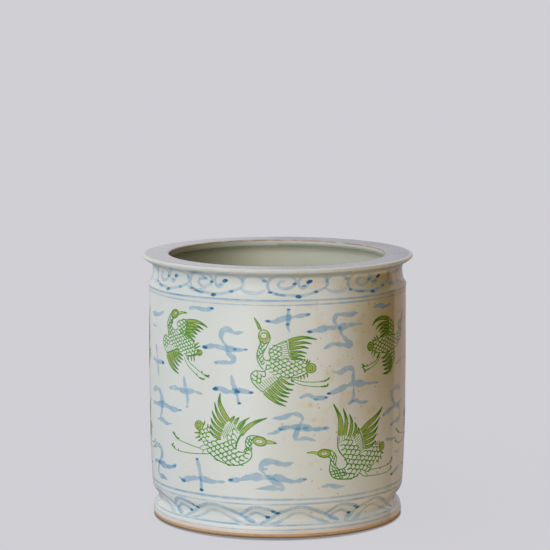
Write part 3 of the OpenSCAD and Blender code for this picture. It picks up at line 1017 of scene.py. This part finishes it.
def soaring_crane(c):
    """A crane that climbs to the left, seen from below, with its long neck stretched up."""
    c.fill([(-11.6, 150.8, 2.3), (-13.7, 154.9, 1.6), (-16.8, 160.2, 0.6)], 1.8, 0.7)
    c.line([(-11.6, 152), (-13.5, 156), (-16.9, 160.4)], 0.8, 0.8, (0.6, 1.2))
    c.line([(-13.4, 151.6), (-15, 155.6), (-16.9, 160.2)], 0.55, 0.5)
    c.oval(-9.4, 146.6, 4.0, 4.9, 0.9, 0.6, 18, 0.55)
    c.eye(-9.8, 147.2, 2.0, 1.9)
    c.line([(-12.6, 143.8), (-12.4, 141), (-14, 137), (-14.7, 133), (-14, 129), (-12.2, 125.4),
        (-10, 122.8)], 0.8, 0.65)
    c.line([(-5.8, 143.4), (-8, 139), (-10, 135.4), (-10.5, 132.4), (-9, 130), (-7, 129.6),
        (-5.2, 130.8), (-5.4, 133), (-6.2, 135.4), (-4.6, 138), (-1, 140.6), (3, 142.6),
        (7, 143.9)], 0.75)
    c.scales([(-12, 143), (-8, 142.6), (-10.6, 137.4), (-11.4, 132.6), (-9.4, 129.2), (-8.6, 126.6),
        (-11, 126), (-13.4, 129.4), (-14, 133), (-13.2, 137.4)], 265, 2.3, 2.1, 0.6, 0.6)
    c.scales([(-8.8, 128.4), (-3, 130), (8, 130.4), (14, 130.2), (19.6, 129), (21, 125.6),
        (20.4, 121.4), (16, 118.6), (10, 117.6), (3, 118), (-4, 119.6), (-8, 122.4)], -8, 3.5, 2.9)
    c.scales([(-5.4, 136.2), (-2.6, 139.4), (1.2, 141), (1.6, 135.4), (-0.4, 131), (-4.4, 131)], 10,
        3.2, 2.9)
    c.line([(-8.4, 129.6), (0, 130.2), (8, 130.6), (15, 130.8), (19, 129.8), (21, 127.4)], 0.5,
        0.45)
    c.line([(21, 121), (18.6, 119), (13, 117.2), (7, 117.4), (1, 118.2)], 0.75)
    c.barbs([(1.2, 141), (1.8, 136), (2.4, 131.4)], [(6.8, 143), (7.4, 137.4), (8.4, 131.4)], 8)
    c.line([(6.4, 143.8), (7, 139.6), (7.8, 135), (9, 130.8)], 0.6, 0.45)
    c.feathers(
        ([(7.4, 143.2), (13, 145), (20, 145.8), (28.6, 144)], 2.4),
        ([(7.6, 140.6), (13, 141.6), (19, 142.2), (24.4, 141)], 2.0),
        ([(7.8, 138.2), (12, 138.4), (18, 139), (22.4, 137.8)], 2.0),
        ([(8.2, 135.6), (12, 135.4), (16, 135.6), (21, 134.4)], 1.9),
        ([(8.6, 133.4), (12, 132.8), (16, 133), (20, 131.8)], 1.8),
        ([(9.4, 131.2), (13, 130.6), (16, 130.6), (18.6, 129.8)], 1.4))
    c.line([(-8, 126), (-8.4, 123), (-10.4, 121.6), (-15.6, 122), (-18.4, 120.2), (-19.1, 117.4),
        (-18, 114), (-15.4, 110.8), (-12.6, 108.4), (-10, 106.4)], 0.85, 0.65)
    c.scales([(-8.8, 121.6), (-15.4, 121), (-18.2, 118), (-16.6, 114), (-11.6, 115.4), (-8, 118.6)],
        -60, 3.3, 3.0, 0.6, 0.55)
    c.barbs([(-17, 113), (-11.6, 114.6), (-6.4, 117.6), (-1.6, 118.6)], [(-11, 107.2), (-7.2, 110),
        (-2.8, 113), (0.6, 116)], 10, 0.55)
    c.line([(-10.4, 106.8), (-7, 109.8), (-3, 112.8), (0.2, 115.6), (2.4, 118.4)], 0.75, 0.5)
    c.feathers(
        ([(-9.6, 106.6), (-5, 102.6), (0, 99.2), (6, 96.6)], 2.3),
        ([(-7, 109), (-3, 104.8), (2, 101.4), (7.2, 99.6)], 2.3),
        ([(-4.6, 111), (-1, 107.2), (3.4, 104.4), (8.2, 103.2)], 2.1),
        ([(-2, 113), (1, 109.4), (4.6, 106.8), (9, 105.8)], 2.1),
        ([(0, 115), (3, 111.8), (7, 109), (11.4, 108.2)], 2.0),
        ([(1.8, 116.6), (5, 114.4), (8, 112.8), (12, 112)], 1.8))
    c.knob(24, 123.6, 3.7, 3.3)
    c.spikes(((20.4, 127), (21.6, 130.6)), ((21.4, 126.4), (23.4, 129.6)),
        ((18.6, 128.6), (19.6, 130.8)), ((20.6, 121), (21.4, 116.6)), ((18.4, 119.8), (19, 115.6)),
        ((16.2, 118.8), (16.6, 115.2)), ((14, 118), (14.6, 115.8)))
    c.line([(9.6, 116.6), (10.6, 114.8), (12, 114.2)], 1.6)
    c.line([(11, 116), (19, 114), (28, 113.5), (34, 113.7), (37.4, 115)], 0.62, 0.45)
    c.line([(12, 113.6), (18, 111.6), (25, 110.4), (31, 109.9), (35.4, 109.8), (37.4, 111)], 0.62,
        0.45)
    c.toes(((34, 113.6), (38.2, 116.4)), ((33, 113.6), (35.2, 114.8)),
        ((31.4, 113.6), (32.4, 114.4)), ((35, 109.8), (37, 112)), ((33, 109.8), (34.6, 111)),
        ((31, 109.9), (36.8, 110.2)))


def gliding_crane(c):
    """A crane that flies to the right with both wings raised and its legs trailing."""
    c.fill([(-8.4, 70.8, 2.6), (-4, 70.6, 1.9), (-0.4, 69.9, 0.5)], 2.2, 0.3)
    c.line([(-8.4, 72.2), (-4, 71.4), (-0.3, 69.9)], 0.52, 0.45)
    c.line([(-8.4, 69.4), (-3.6, 69.4), (-0.3, 69.9)], 0.52, 0.45)
    c.line([(-3, 70), (-0.4, 69.9)], 1.1, 0.8)
    c.oval(-12.8, 71.1, 4.9, 3.2, 1.0, 0.6, -12, 0.45)
    c.eye(-13.2, 71, 2.4, 1.3, -20)
    c.line([(-8.2, 72.4), (-10.6, 74), (-14.6, 74.9), (-18.6, 75.1), (-21.6, 73.8), (-23.1, 71),
        (-22.9, 67.6), (-22.4, 64.8), (-23.6, 62.9), (-26.6, 62.7), (-29, 63.4)], 0.8, 0.65)
    c.line([(-17.9, 70.2), (-19.2, 67.6), (-19.1, 64), (-18.6, 60.8), (-19.6, 58.3), (-22, 55.9),
        (-26, 53.9), (-31, 52.7), (-36.4, 53.2), (-42, 54.7), (-47, 57), (-51.2, 59.8)], 0.85, 0.7)
    c.scales([(-18.6, 74.2), (-21.4, 73), (-22.4, 70), (-22, 64.4), (-19.6, 64.4), (-19.8, 68),
        (-18.4, 71)], 280, 2.3, 2.1, 0.6, 0.6)
    c.scales([(-50.6, 60.2), (-46.6, 57.8), (-42, 55.6), (-36, 54), (-31, 53.4), (-26, 54.6),
        (-21.8, 56.8), (-19.6, 60), (-20, 64), (-22.4, 64), (-24, 62.4), (-29.6, 63), (-31, 68),
        (-36, 71), (-42, 69), (-47, 70.6), (-52, 66), (-54, 62.6)], 172, 4.0, 3.4, 0.6, 0.5)
    c.scales([(-50.4, 70), (-54, 66.6), (-58.6, 68.6), (-60, 72), (-59, 76.2), (-55, 78.4),
        (-51.4, 77.6)], 165, 3.3, 3.0)
    c.line([(-30.4, 65.4), (-29.8, 69), (-27.4, 74), (-25, 76.6)], 1.5, 0.75, (1.2, 0.4))
    c.scales([(-30.6, 66), (-30, 72), (-28.6, 76.6), (-31, 78.8), (-34.6, 75.6), (-37, 71.4)], 110,
        4.2, 3.2, 0.52)
    c.barbs([(-39.4, 71.2), (-36.8, 73.8), (-34, 77), (-30, 79.2)], [(-41, 76), (-39, 79.4),
        (-36, 83.4), (-32.4, 84.2)], 9, 0.6)
    c.feathers(
        ([(-35.4, 84.6), (-39, 89.2), (-42, 94.8), (-43, 99), (-42.2, 104.8)], 3.2),
        ([(-38.2, 82), (-42, 86.2), (-45.2, 91.2), (-46.9, 97.8)], 2.4),
        ([(-39.4, 79.6), (-43.6, 82.6), (-47, 86.6), (-49, 91.4)], 2.2),
        ([(-40.4, 76.6), (-45, 79.2), (-48.4, 82.6), (-50.3, 86.2)], 2.1),
        ([(-41.4, 73.8), (-46, 75.8), (-49, 78.2), (-50.6, 81)], 2.0),
        ([(-42, 71.4), (-46.4, 72.6), (-49.4, 74.6), (-51.2, 77)], 1.8),
        ([(-34.8, 84), (-32.6, 86.8), (-31.1, 88.8)], 2.0),
        ([(-31.2, 82.6), (-29.6, 85.8), (-27.6, 88)], 2.0),
        ([(-29, 79), (-26.6, 83.6), (-20, 88.2)], 1.7),
        ([(-28.2, 78), (-25.6, 81.8), (-23, 85.4)], 1.3),
        ([(-26.6, 75.4), (-22.4, 80.4), (-15.6, 85), (-7.4, 88.2)], 3.0))
    c.knob(-60.4, 79.4, 3.7, 3.3, 0.8, 0.55, 10)
    c.line([(-62.8, 77.2), (-60.6, 75.8), (-59.4, 73)], 1.2, 0.5)
    c.spikes(((-56.6, 79.6), (-55, 83.6)), ((-59.6, 74), (-65.2, 73.4)),
        ((-59.4, 71.8), (-64.2, 69.4)), ((-58.6, 69.4), (-62, 67.6)), ((-53, 78), (-52.6, 81.6)),
        ((-51, 77.6), (-50.6, 80.6)))
    c.line([(-52.4, 66.4), (-56.6, 65.2), (-60.2, 62.8), (-56.6, 62), (-53, 63.6)], 0.52, 0.45)
    c.line([(-56.2, 62), (-57.6, 59.6), (-54, 59.2), (-50.8, 60)], 0.52, 0.45)
    c.line([(-60, 62.8), (-66, 63.6), (-73, 64.8), (-80, 66), (-84.4, 67.4), (-88, 70.4)], 0.62,
        0.5)
    c.line([(-51, 59.6), (-60, 58.6), (-70, 58), (-80, 57.9), (-86, 58.8), (-90, 61)], 0.62, 0.5)
    c.toes(((-84, 67.4), (-89, 71)), ((-85.6, 68.6), (-87, 71.6)), ((-81.6, 66.6), (-85.4, 68.8)),
        ((-81, 66.4), (-82, 67.8)), ((-86, 59), (-90.6, 61.6)), ((-89.6, 60.8), (-87.8, 63.2)),
        ((-82, 58.3), (-82, 59.8)), ((-86.4, 59.4), (-86.8, 61)))


def banking_crane(c):
    """A crane that flies to the left, low, with one wing straight up and the other swept back."""
    c.fill([(29.4, 61.6, 2.2), (25, 62.4, 1.6), (21, 62.5, 0.6)], 2.0, 0.25)
    c.line([(29.6, 62.6), (25, 63.2), (20.9, 62.5)], 0.55, 0.4)
    c.line([(29.6, 60.6), (25.4, 61.8), (20.9, 62.4)], 0.55, 0.35)
    c.line([(22.6, 62.5), (20.9, 62.5)], 1.2, 0.85)
    c.oval(34.4, 61.3, 5.0, 2.9, 1.0, 0.6, -4, 0.5)
    c.eye(34.2, 61.1, 2.2, 1.1)
    c.line([(36, 64.2), (39.6, 63), (42.6, 60.5), (43.9, 57.4), (43.4, 54), (43.6, 51), (45.4, 49),
        (48.5, 48.6), (51.4, 49.6), (52.6, 51.2)])
    c.line([(37, 58.8), (39, 57.4), (39.2, 54), (38.5, 50), (38.9, 47), (40.5, 44.1), (43.5, 42.2),
        (48, 41.3), (54, 40.7), (59, 41.2), (63.6, 42.6)], 0.95, 0.65)
    c.scales([(39.6, 62), (42, 60), (43.2, 57), (42.6, 51), (39.4, 50), (40, 54), (40, 58)], 275,
        2.3, 2.0, 0.6, 0.6)
    c.scales([(42.8, 51.4), (45, 48.4), (49, 47.8), (52, 48.6), (52, 44), (48, 42), (43.4, 43),
        (40.4, 46), (39.6, 50)], 330, 2.4, 2.2, 0.6, 0.65)
    c.scales([(52, 49.4), (53.8, 51.4), (52, 55.4), (48, 60.2), (45.8, 64), (46, 67), (52, 68.6),
        (57, 69), (61, 64), (65, 58.4), (70, 58.4), (78, 62), (84, 61), (86, 57), (85, 52),
        (80, 49), (75, 46.6), (66, 45), (63, 43), (56, 41.4), (52.4, 42)], 20, 4.2, 3.5, 0.56, 0.5)
    c.line([(53.8, 50.8), (51.2, 56), (47.6, 60), (45.4, 63.6), (44.8, 67), (44.8, 73)], 1.0, 0.65)
    c.barbs([(45.8, 67), (50, 68.6), (54, 69.4), (58, 69.4)], [(46, 73), (50.6, 73.4), (55, 72),
        (59.4, 72)], 7, 0.6)
    c.barbs([(58.6, 69.6), (60.6, 64.6), (63, 59.6), (63, 55.4)], [(64.4, 74), (66.6, 68),
        (67.2, 62), (67.2, 57.4)], 10, 0.55)
    c.line([(64, 74.4), (66, 70), (67.2, 65), (67.6, 60.4)], 0.9, 0.55)
    c.feathers(
        ([(46.6, 72.6), (47.2, 80), (46, 87.4), (41, 97)], 3.6),
        ([(50.6, 73), (51.6, 80), (51.4, 86), (49, 93)], 2.7),
        ([(54.4, 71.4), (56.2, 77.6), (56.4, 83), (54.4, 88.4)], 2.5),
        ([(58.2, 71.4), (60, 75.4), (60.2, 79), (59, 82)], 2.3),
        ([(61.6, 73), (63, 75.4), (62.4, 77.8)], 2.0),
        ([(65, 74.2), (71, 78.4), (78, 82), (84, 85.8), (88.2, 89.6)], 3.3),
        ([(66.2, 71.6), (73, 74.4), (79.6, 77.4), (85.4, 82.2)], 2.8),
        ([(67, 68.6), (74, 70.6), (79, 72.4), (83.2, 76.2)], 2.7),
        ([(67.8, 65.4), (74, 66.4), (78, 67.8), (81.4, 70.8)], 2.4),
        ([(68.4, 62.4), (73.4, 62.4), (77, 63.4), (80, 65.4)], 2.2))
    c.knob(88, 60.4, 3.3, 2.9, 0.8, 0.6, 40)
    c.spikes(((80, 62), (80.4, 66)), ((82, 61.6), (82, 65)), ((84.2, 61.6), (84.8, 65.4)),
        ((86.6, 56.4), (90.6, 54.6)), ((86, 53.4), (88.2, 50.4)), ((82, 51), (84.8, 48.6)))
    c.line([(66, 47), (70, 44.6), (74, 44), (76.4, 45.3), (72, 47.6)], 0.65, 0.45)
    c.line([(63.8, 44.6), (68, 41.6), (72.4, 40.5), (71.4, 42.4), (70, 44)], 0.65, 0.45)
    c.line([(76, 45), (83, 44.8), (92, 45), (99, 45.6), (102, 47), (104.4, 49.8)], 0.6, 0.45)
    c.line([(72, 40.8), (80, 40.1), (90, 39.7), (97, 40.1), (101, 41.4), (103.8, 43.2)], 0.6, 0.45)
    c.toes(((100, 46), (104.6, 49.6)), ((99.6, 46), (102, 47.8)), ((104, 48), (102, 50.4)),
        ((100, 41), (104, 43.2)), ((96, 45.4), (97.4, 46.6)), ((102, 42.4), (101.4, 44)))


def turning_crane(c):
    """A crane that wheels to the right, with its neck curled back over its shoulder."""
    c.fill([(-80.8, 158.4, 2), (-76, 159.6, 1.6), (-71, 160, 0.6)], 1.8, 0.35)
    c.line([(-80.6, 159.6), (-76, 160.4), (-70.9, 160)], 0.55, 0.5)
    c.line([(-80.6, 157.4), (-75.6, 159), (-70.9, 159.9)], 0.5, 0.45)
    c.line([(-75, 159.8), (-71, 160)], 1.0, 0.8)
    c.oval(-84.8, 157.9, 4.5, 2.8, 1.1, 0.65, 22, 0.7)
    c.eye(-83.6, 158.4, 1.3, 0.9, 20)
    c.line([(-88.6, 158.4), (-91.4, 155.4), (-93.4, 152), (-94, 148), (-93, 144), (-92.6, 141)])
    c.line([(-84.6, 155), (-87.4, 153.2), (-89, 150.2), (-88, 147.4), (-85, 146.2), (-82.4, 146.6),
        (-81, 148.4), (-82.2, 151.2), (-80, 153.2), (-75, 154.7), (-71, 155)], 0.75)
    c.scales([(-87, 155.4), (-90.6, 155), (-92.8, 151.6), (-93.2, 147), (-92.2, 143),
        (-88.6, 144.4), (-88.4, 147), (-89.4, 150), (-88, 153)], 262, 2.7, 2.4, 0.75, 0.65)
    c.scales([(-92, 145.4), (-85, 145.4), (-80, 147), (-72, 143.4), (-66, 141.4), (-64, 138),
        (-64, 134), (-66.4, 130.6), (-72, 130), (-79, 131.6), (-85, 134), (-91, 137.4)], -12, 2.9,
        2.6)
    c.scales([(-81.4, 151.6), (-79, 153.4), (-72, 154.6), (-72, 143.4), (-79.6, 144.6)], 0, 2.9,
        2.6, 0.6, 0.5)
    c.line([(-71.4, 155), (-71.6, 150), (-72, 146), (-73, 142.8)], 1.5, 0.65)
    c.feathers(
        ([(-71, 154.2), (-64, 154.6), (-58, 153.6), (-52.4, 151)], 2.4),
        ([(-71.2, 151.8), (-65, 151.6), (-60, 150.8), (-56, 149.2)], 2.1),
        ([(-71.4, 149.4), (-66, 149.4), (-62, 148.6), (-58.4, 147.4)], 2.0),
        ([(-71.6, 147), (-67, 147.2), (-64, 146.4), (-61.4, 145)], 2.0),
        ([(-72, 144.6), (-68, 144.6), (-65.6, 144), (-63, 142.6)], 1.9),
        ([(-70.6, 142.4), (-68, 142.4), (-64.6, 140.6)], 1.5))
    c.line([(-92.6, 141), (-93.6, 140.3), (-97.4, 140.9), (-100, 138.7), (-100.2, 135),
        (-98.6, 132), (-96.4, 129.2), (-94.8, 127.6)], 0.8, 0.55)
    c.scales([(-93, 140), (-97, 140), (-99.4, 137.2), (-98, 132.6), (-92.6, 135)], -50, 2.9, 2.7,
        0.6, 0.5)
    c.barbs([(-98, 131.8), (-93, 133.4), (-87, 135), (-83, 135)], [(-95, 128), (-90, 129.8),
        (-85, 131.4), (-81, 132)], 8, 0.45, 0.3)
    c.line([(-95.4, 127.8), (-90, 129.8), (-85, 131.4), (-82, 132.8), (-79.4, 131)], 1.2, 0.65)
    c.feathers(
        ([(-94.6, 127.4), (-91.6, 122.6), (-87, 118), (-80.4, 114.6)], 2.8),
        ([(-91.6, 128.8), (-89, 124.4), (-85.4, 120.2), (-80.6, 117.4)], 2.4),
        ([(-88.8, 129.8), (-86.4, 126), (-83.4, 122.6), (-79.8, 120.4)], 2.2),
        ([(-86.2, 130.6), (-84, 127.4), (-81, 124.6), (-77.2, 123.1)], 2.1),
        ([(-83.6, 131.2), (-81.6, 128.8), (-79, 126.8), (-75.4, 125.2)], 2.0),
        ([(-81, 131.2), (-79, 129.6), (-75, 128.2)], 1.6))
    c.knob(-59.6, 132.2, 2.4, 1.8, 0.9, 0.65, 20)
    c.line([(-66, 129.4), (-63, 130.6), (-61.4, 131.6)], 1.5, 0.7)
    c.line([(-73, 129.6), (-69.4, 128.8), (-66, 129.6), (-64.2, 131.8), (-63.6, 135), (-64.4, 138)])
    c.spikes(((-64, 137), (-59.8, 139.8)), ((-63.4, 135.2), (-58.6, 137.4)),
        ((-62.8, 134), (-58, 134)), ((-64.8, 129.6), (-64.4, 125.2)), ((-67.4, 129), (-67, 125.2)),
        ((-70.6, 129.4), (-70, 125.6)), ((-66, 139.8), (-63.2, 140.6)))
    c.line([(-73, 129), (-69.2, 124.6), (-65, 122), (-60, 119), (-56.4, 117), (-53, 115.2)], 0.62,
        0.5)
    c.line([(-74.6, 127.4), (-71, 122.4), (-66, 118.6), (-62, 115.8), (-59.4, 114)], 0.62, 0.5)
    c.toes(((-55.6, 116.8), (-51, 115.2)), ((-54, 115.6), (-50.8, 117)),
        ((-53.6, 115.4), (-53.2, 117.2)), ((-57.8, 117.8), (-57.4, 119.6)),
        ((-60, 114.4), (-55.6, 113)), ((-57, 113), (-55, 114.4)), ((-63, 116.2), (-61.4, 117)))


def passing_crane(c):
    """A crane that flies to the right and is seen from behind its tail."""
    c.knob(74, 135.4, 3.2, 3.0, 1.0, 0.65)
    c.spikes(((77.6, 138.2), (75, 140.4)), ((79.6, 139), (77.2, 142.2)), ((82, 139.8), (79.8, 143)),
        ((77.2, 132.6), (74.2, 129.2)), ((79.4, 131), (76.4, 127)))
    c.scales([(77, 138.4), (83, 140.2), (92, 141), (100, 140.6), (107, 139), (110, 134.6),
        (106, 132), (100, 131), (93, 129.6), (86, 129.8), (80, 131.4), (77, 134)], 188, 3.3, 2.9,
        0.52)
    c.line([(77, 138.6), (84, 140.4), (92, 141.2), (100, 140.8), (108, 140.2), (111.4, 142.4)], 0.7,
        0.55)
    c.line([(77.4, 132.4), (83, 129.8), (92, 129), (100, 130.2), (108, 131), (113, 133.4),
        (117.6, 138), (119, 143)], 0.7, 0.55)
    c.scales([(109, 139.6), (113, 142), (118, 143), (117, 139), (113, 134.6), (109, 133.6)], 210,
        2.4, 2.2, 0.6, 0.55)
    c.oval(115.6, 146, 4.0, 3.6, 1.0, 0.55, 20, 0.5)
    c.eye(115.8, 146.2, 1.7, 1.4)
    c.fill([(118, 148.6, 2.2), (120.6, 151.6, 1.6), (124, 155.6, 0.5)], 1.8, 0.4)
    c.line([(117.4, 149.6), (120, 152.6), (124.2, 155.8)], 0.8, 0.7)
    c.line([(119.4, 148), (121.6, 151.4), (124.2, 155.6)], 0.5, 0.45)
    c.line([(103, 141), (103.6, 146), (101.8, 150), (98, 152.6)], 0.8, 0.5)
    c.scales([(96, 142), (103, 141.6), (103, 147), (100.6, 150.6), (96.6, 151.6)], 185, 3.0, 2.8,
        0.6)
    c.feathers(
        ([(97, 152.4), (91, 154.2), (84.4, 154.6), (79, 153.2), (75.8, 150)], 2.6),
        ([(96.6, 149.6), (90, 150.6), (84.4, 150), (79.4, 147.2)], 2.3),
        ([(96.4, 147), (90, 147.8), (86, 147.2), (82.8, 145)], 2.1),
        ([(96.2, 144.8), (91, 145.4), (87.6, 144.8), (84.6, 143.6)], 1.9),
        ([(96, 142.6), (91, 143), (87, 142), (84.6, 141.2)], 1.7))
    c.line([(104, 131), (105, 126), (103.8, 121), (100.8, 117.6)], 0.8, 0.5)
    c.scales([(97, 129.4), (104, 130.4), (104.6, 125), (103, 121.4), (99, 125)], 230, 3.0, 2.8, 0.6)
    c.feathers(
        ([(101.4, 118.4), (98, 115.6), (93.6, 113.8), (88, 113.6)], 2.4),
        ([(101.6, 121.2), (97.4, 118.6), (93.4, 117), (88.8, 116.8)], 2.3),
        ([(100.4, 123.8), (96.4, 121.4), (92, 119.8), (87.2, 119.8)], 2.3),
        ([(98.6, 126.2), (94.6, 124.2), (91, 122.6), (86.6, 122.5)], 2.2),
        ([(96, 128.4), (92.6, 127), (89.6, 125.6), (85.8, 125.2)], 2.1))
    c.line([(84, 129.6), (82.6, 127.6), (80.4, 126)], 2.0)
    c.line([(84, 128.4), (80, 124.6), (75, 122.7), (70.6, 121.6), (67.4, 121.4)], 0.7, 0.5)
    c.line([(85, 127.4), (81, 123), (76.4, 120.6), (72, 119.1), (68, 118.3)], 0.7, 0.5)
    c.toes(((71, 121.6), (69.6, 122.6)), ((68.4, 121.2), (65, 123.8)),
        ((67.6, 121.4), (64.8, 121.4)), ((69, 118.4), (66.2, 120.4)), ((72.6, 119.2), (70, 119)),
        ((69.6, 118.4), (67.2, 117.6)))


for crane in (soaring_crane, gliding_crane, banking_crane, turning_crane, passing_crane):
    crane(Crane())
    crane(Crane(shift=HALF, mirror=-1, about=(0, 100), size=0.98))
# The two gaps at the sides of the pot
gliding_crane(Crane(shift=194, lift=-2, size=0.9, about=(-45, 80)))
soaring_crane(Crane(shift=-143.5, lift=4, mirror=-1, size=0.8, about=(9.5, 128)))
banking_crane(Crane(shift=-211.6, lift=5, size=0.72, about=(62.6, 70)))

placed("crane_washes", washes, green_wash)
placed("crane_lines", lines, green_line)
placed("crane_eyes", whites, white_glaze)

# ------------------------------------------------------------------------------------------------
# The studio: a pale paper sweep under a lamp of its own, a broad soft box to the front left, a
# pale room with a bright ceiling, and on the right a dark wall with a warm light low beside it.
# ------------------------------------------------------------------------------------------------
mesh = bpy.data.meshes.new("paper_floor")
FAR = 40.0
mesh.from_pydata([(-FAR, -FAR, 0), (FAR, -FAR, 0), (FAR, FAR, 0), (-FAR, FAR, 0)], [],
                 [(0, 1, 2, 3)])
floor = added("paper_floor", mesh)
paper, tree, shader, where = material("pale_paper", 1.0, Specular_IOR_Level=0.0)
shader.inputs["Base Color"].default_value = (0.06, 0.0593, 0.0628, 1)
shader.inputs["Emission Color"].default_value = (0.212, 0.21, 0.222, 1)
shader.inputs["Emission Strength"].default_value = 1
mesh.materials.append(paper)
floor.visible_diffuse = floor.visible_glossy = False

world = bpy.data.worlds.new("studio")
bpy.context.scene.world = world
world.use_nodes = True
tree = world.node_tree
way = Flow(tree, tree.nodes.new("ShaderNodeTexCoord").outputs["Generated"])
axes = way.node("ShaderNodeSeparateXYZ", {}, [way])
x, z = axes.out("X"), axes.out("Z")
# Degrees round the pot: 0 is where the viewer stands, and 90 is on the right
bearing = side_of(way) * (180 / math.pi)
soft_box = bearing.between(-66, -26) * (1 - bearing.between(-26, 10))
warm_side = bearing.between(-10, 25) * (1 - bearing.between(100, 140))
dark_wall = bearing.between(26, 78) * (1 - bearing.between(126, 132))
below = 0.5 - 0.5 * z.between(-0.3, -0.05)
low_light = bearing.between(-20, 50) * (1 - bearing.between(120, 150))
low_light = low_light * (1 - z.between(-0.45, -0.25))
ceiling = z.between(0.6, 0.85) * (1 - x.between(-0.3, 0.3) * 0.8)
room = way.plain((0.92, 0.93, 0.95))
for colour, part in (((0.66, 0.54, 0.52), bearing.between(100, 140)), ((2.2, 2.3, 2.42), soft_box),
                     ((1.0, 0.88, 0.72), warm_side), ((0.05, 0.015, 0.005), dark_wall),
                     ((0.46, 0.46, 0.53), bearing.between(155, 168)),
                     ((0.64, 0.63, 0.68), 1 - bearing.between(-168, -155)),
                     ((0, 0, 0), below), ((0.72, 0.46, 0.2), low_light),
                     ((1.15, 1.15, 1.15), ceiling)):
    room = room.tint(colour, part)
tree.links.new(room.socket, tree.nodes["Background"].inputs["Color"])

overhead = bpy.data.lights.new("floor_lamp", "SUN")
overhead.energy, overhead.angle = 25, math.radians(14)
lamp = added("floor_lamp", overhead)
lamp.rotation_euler = (math.radians(-40), 0, 0)
lamp.light_linking.receiver_collection = bpy.data.collections.new("lit_by_floor_lamp")
lamp.light_linking.receiver_collection.objects.link(floor)
lamp.light_linking.blocker_collection = bpy.data.collections.new("shades_the_floor")
lamp.light_linking.blocker_collection.objects.link(foot)

# Seen from two metres off and a little above the rim, through a long lens
camera = bpy.data.cameras.new("camera")
camera.lens, camera.sensor_width = 178.9, 36
camera.clip_start, camera.clip_end = 0.1, 100
eye = added("camera", camera)
eye.location = (-0.00186, -2.0068, 0.4459)
eye.rotation_euler = (math.radians(90 - 7.602), 0, 0)
bpy.context.scene.camera = eye
bpy.context.scene.view_settings.view_transform = "Standard"
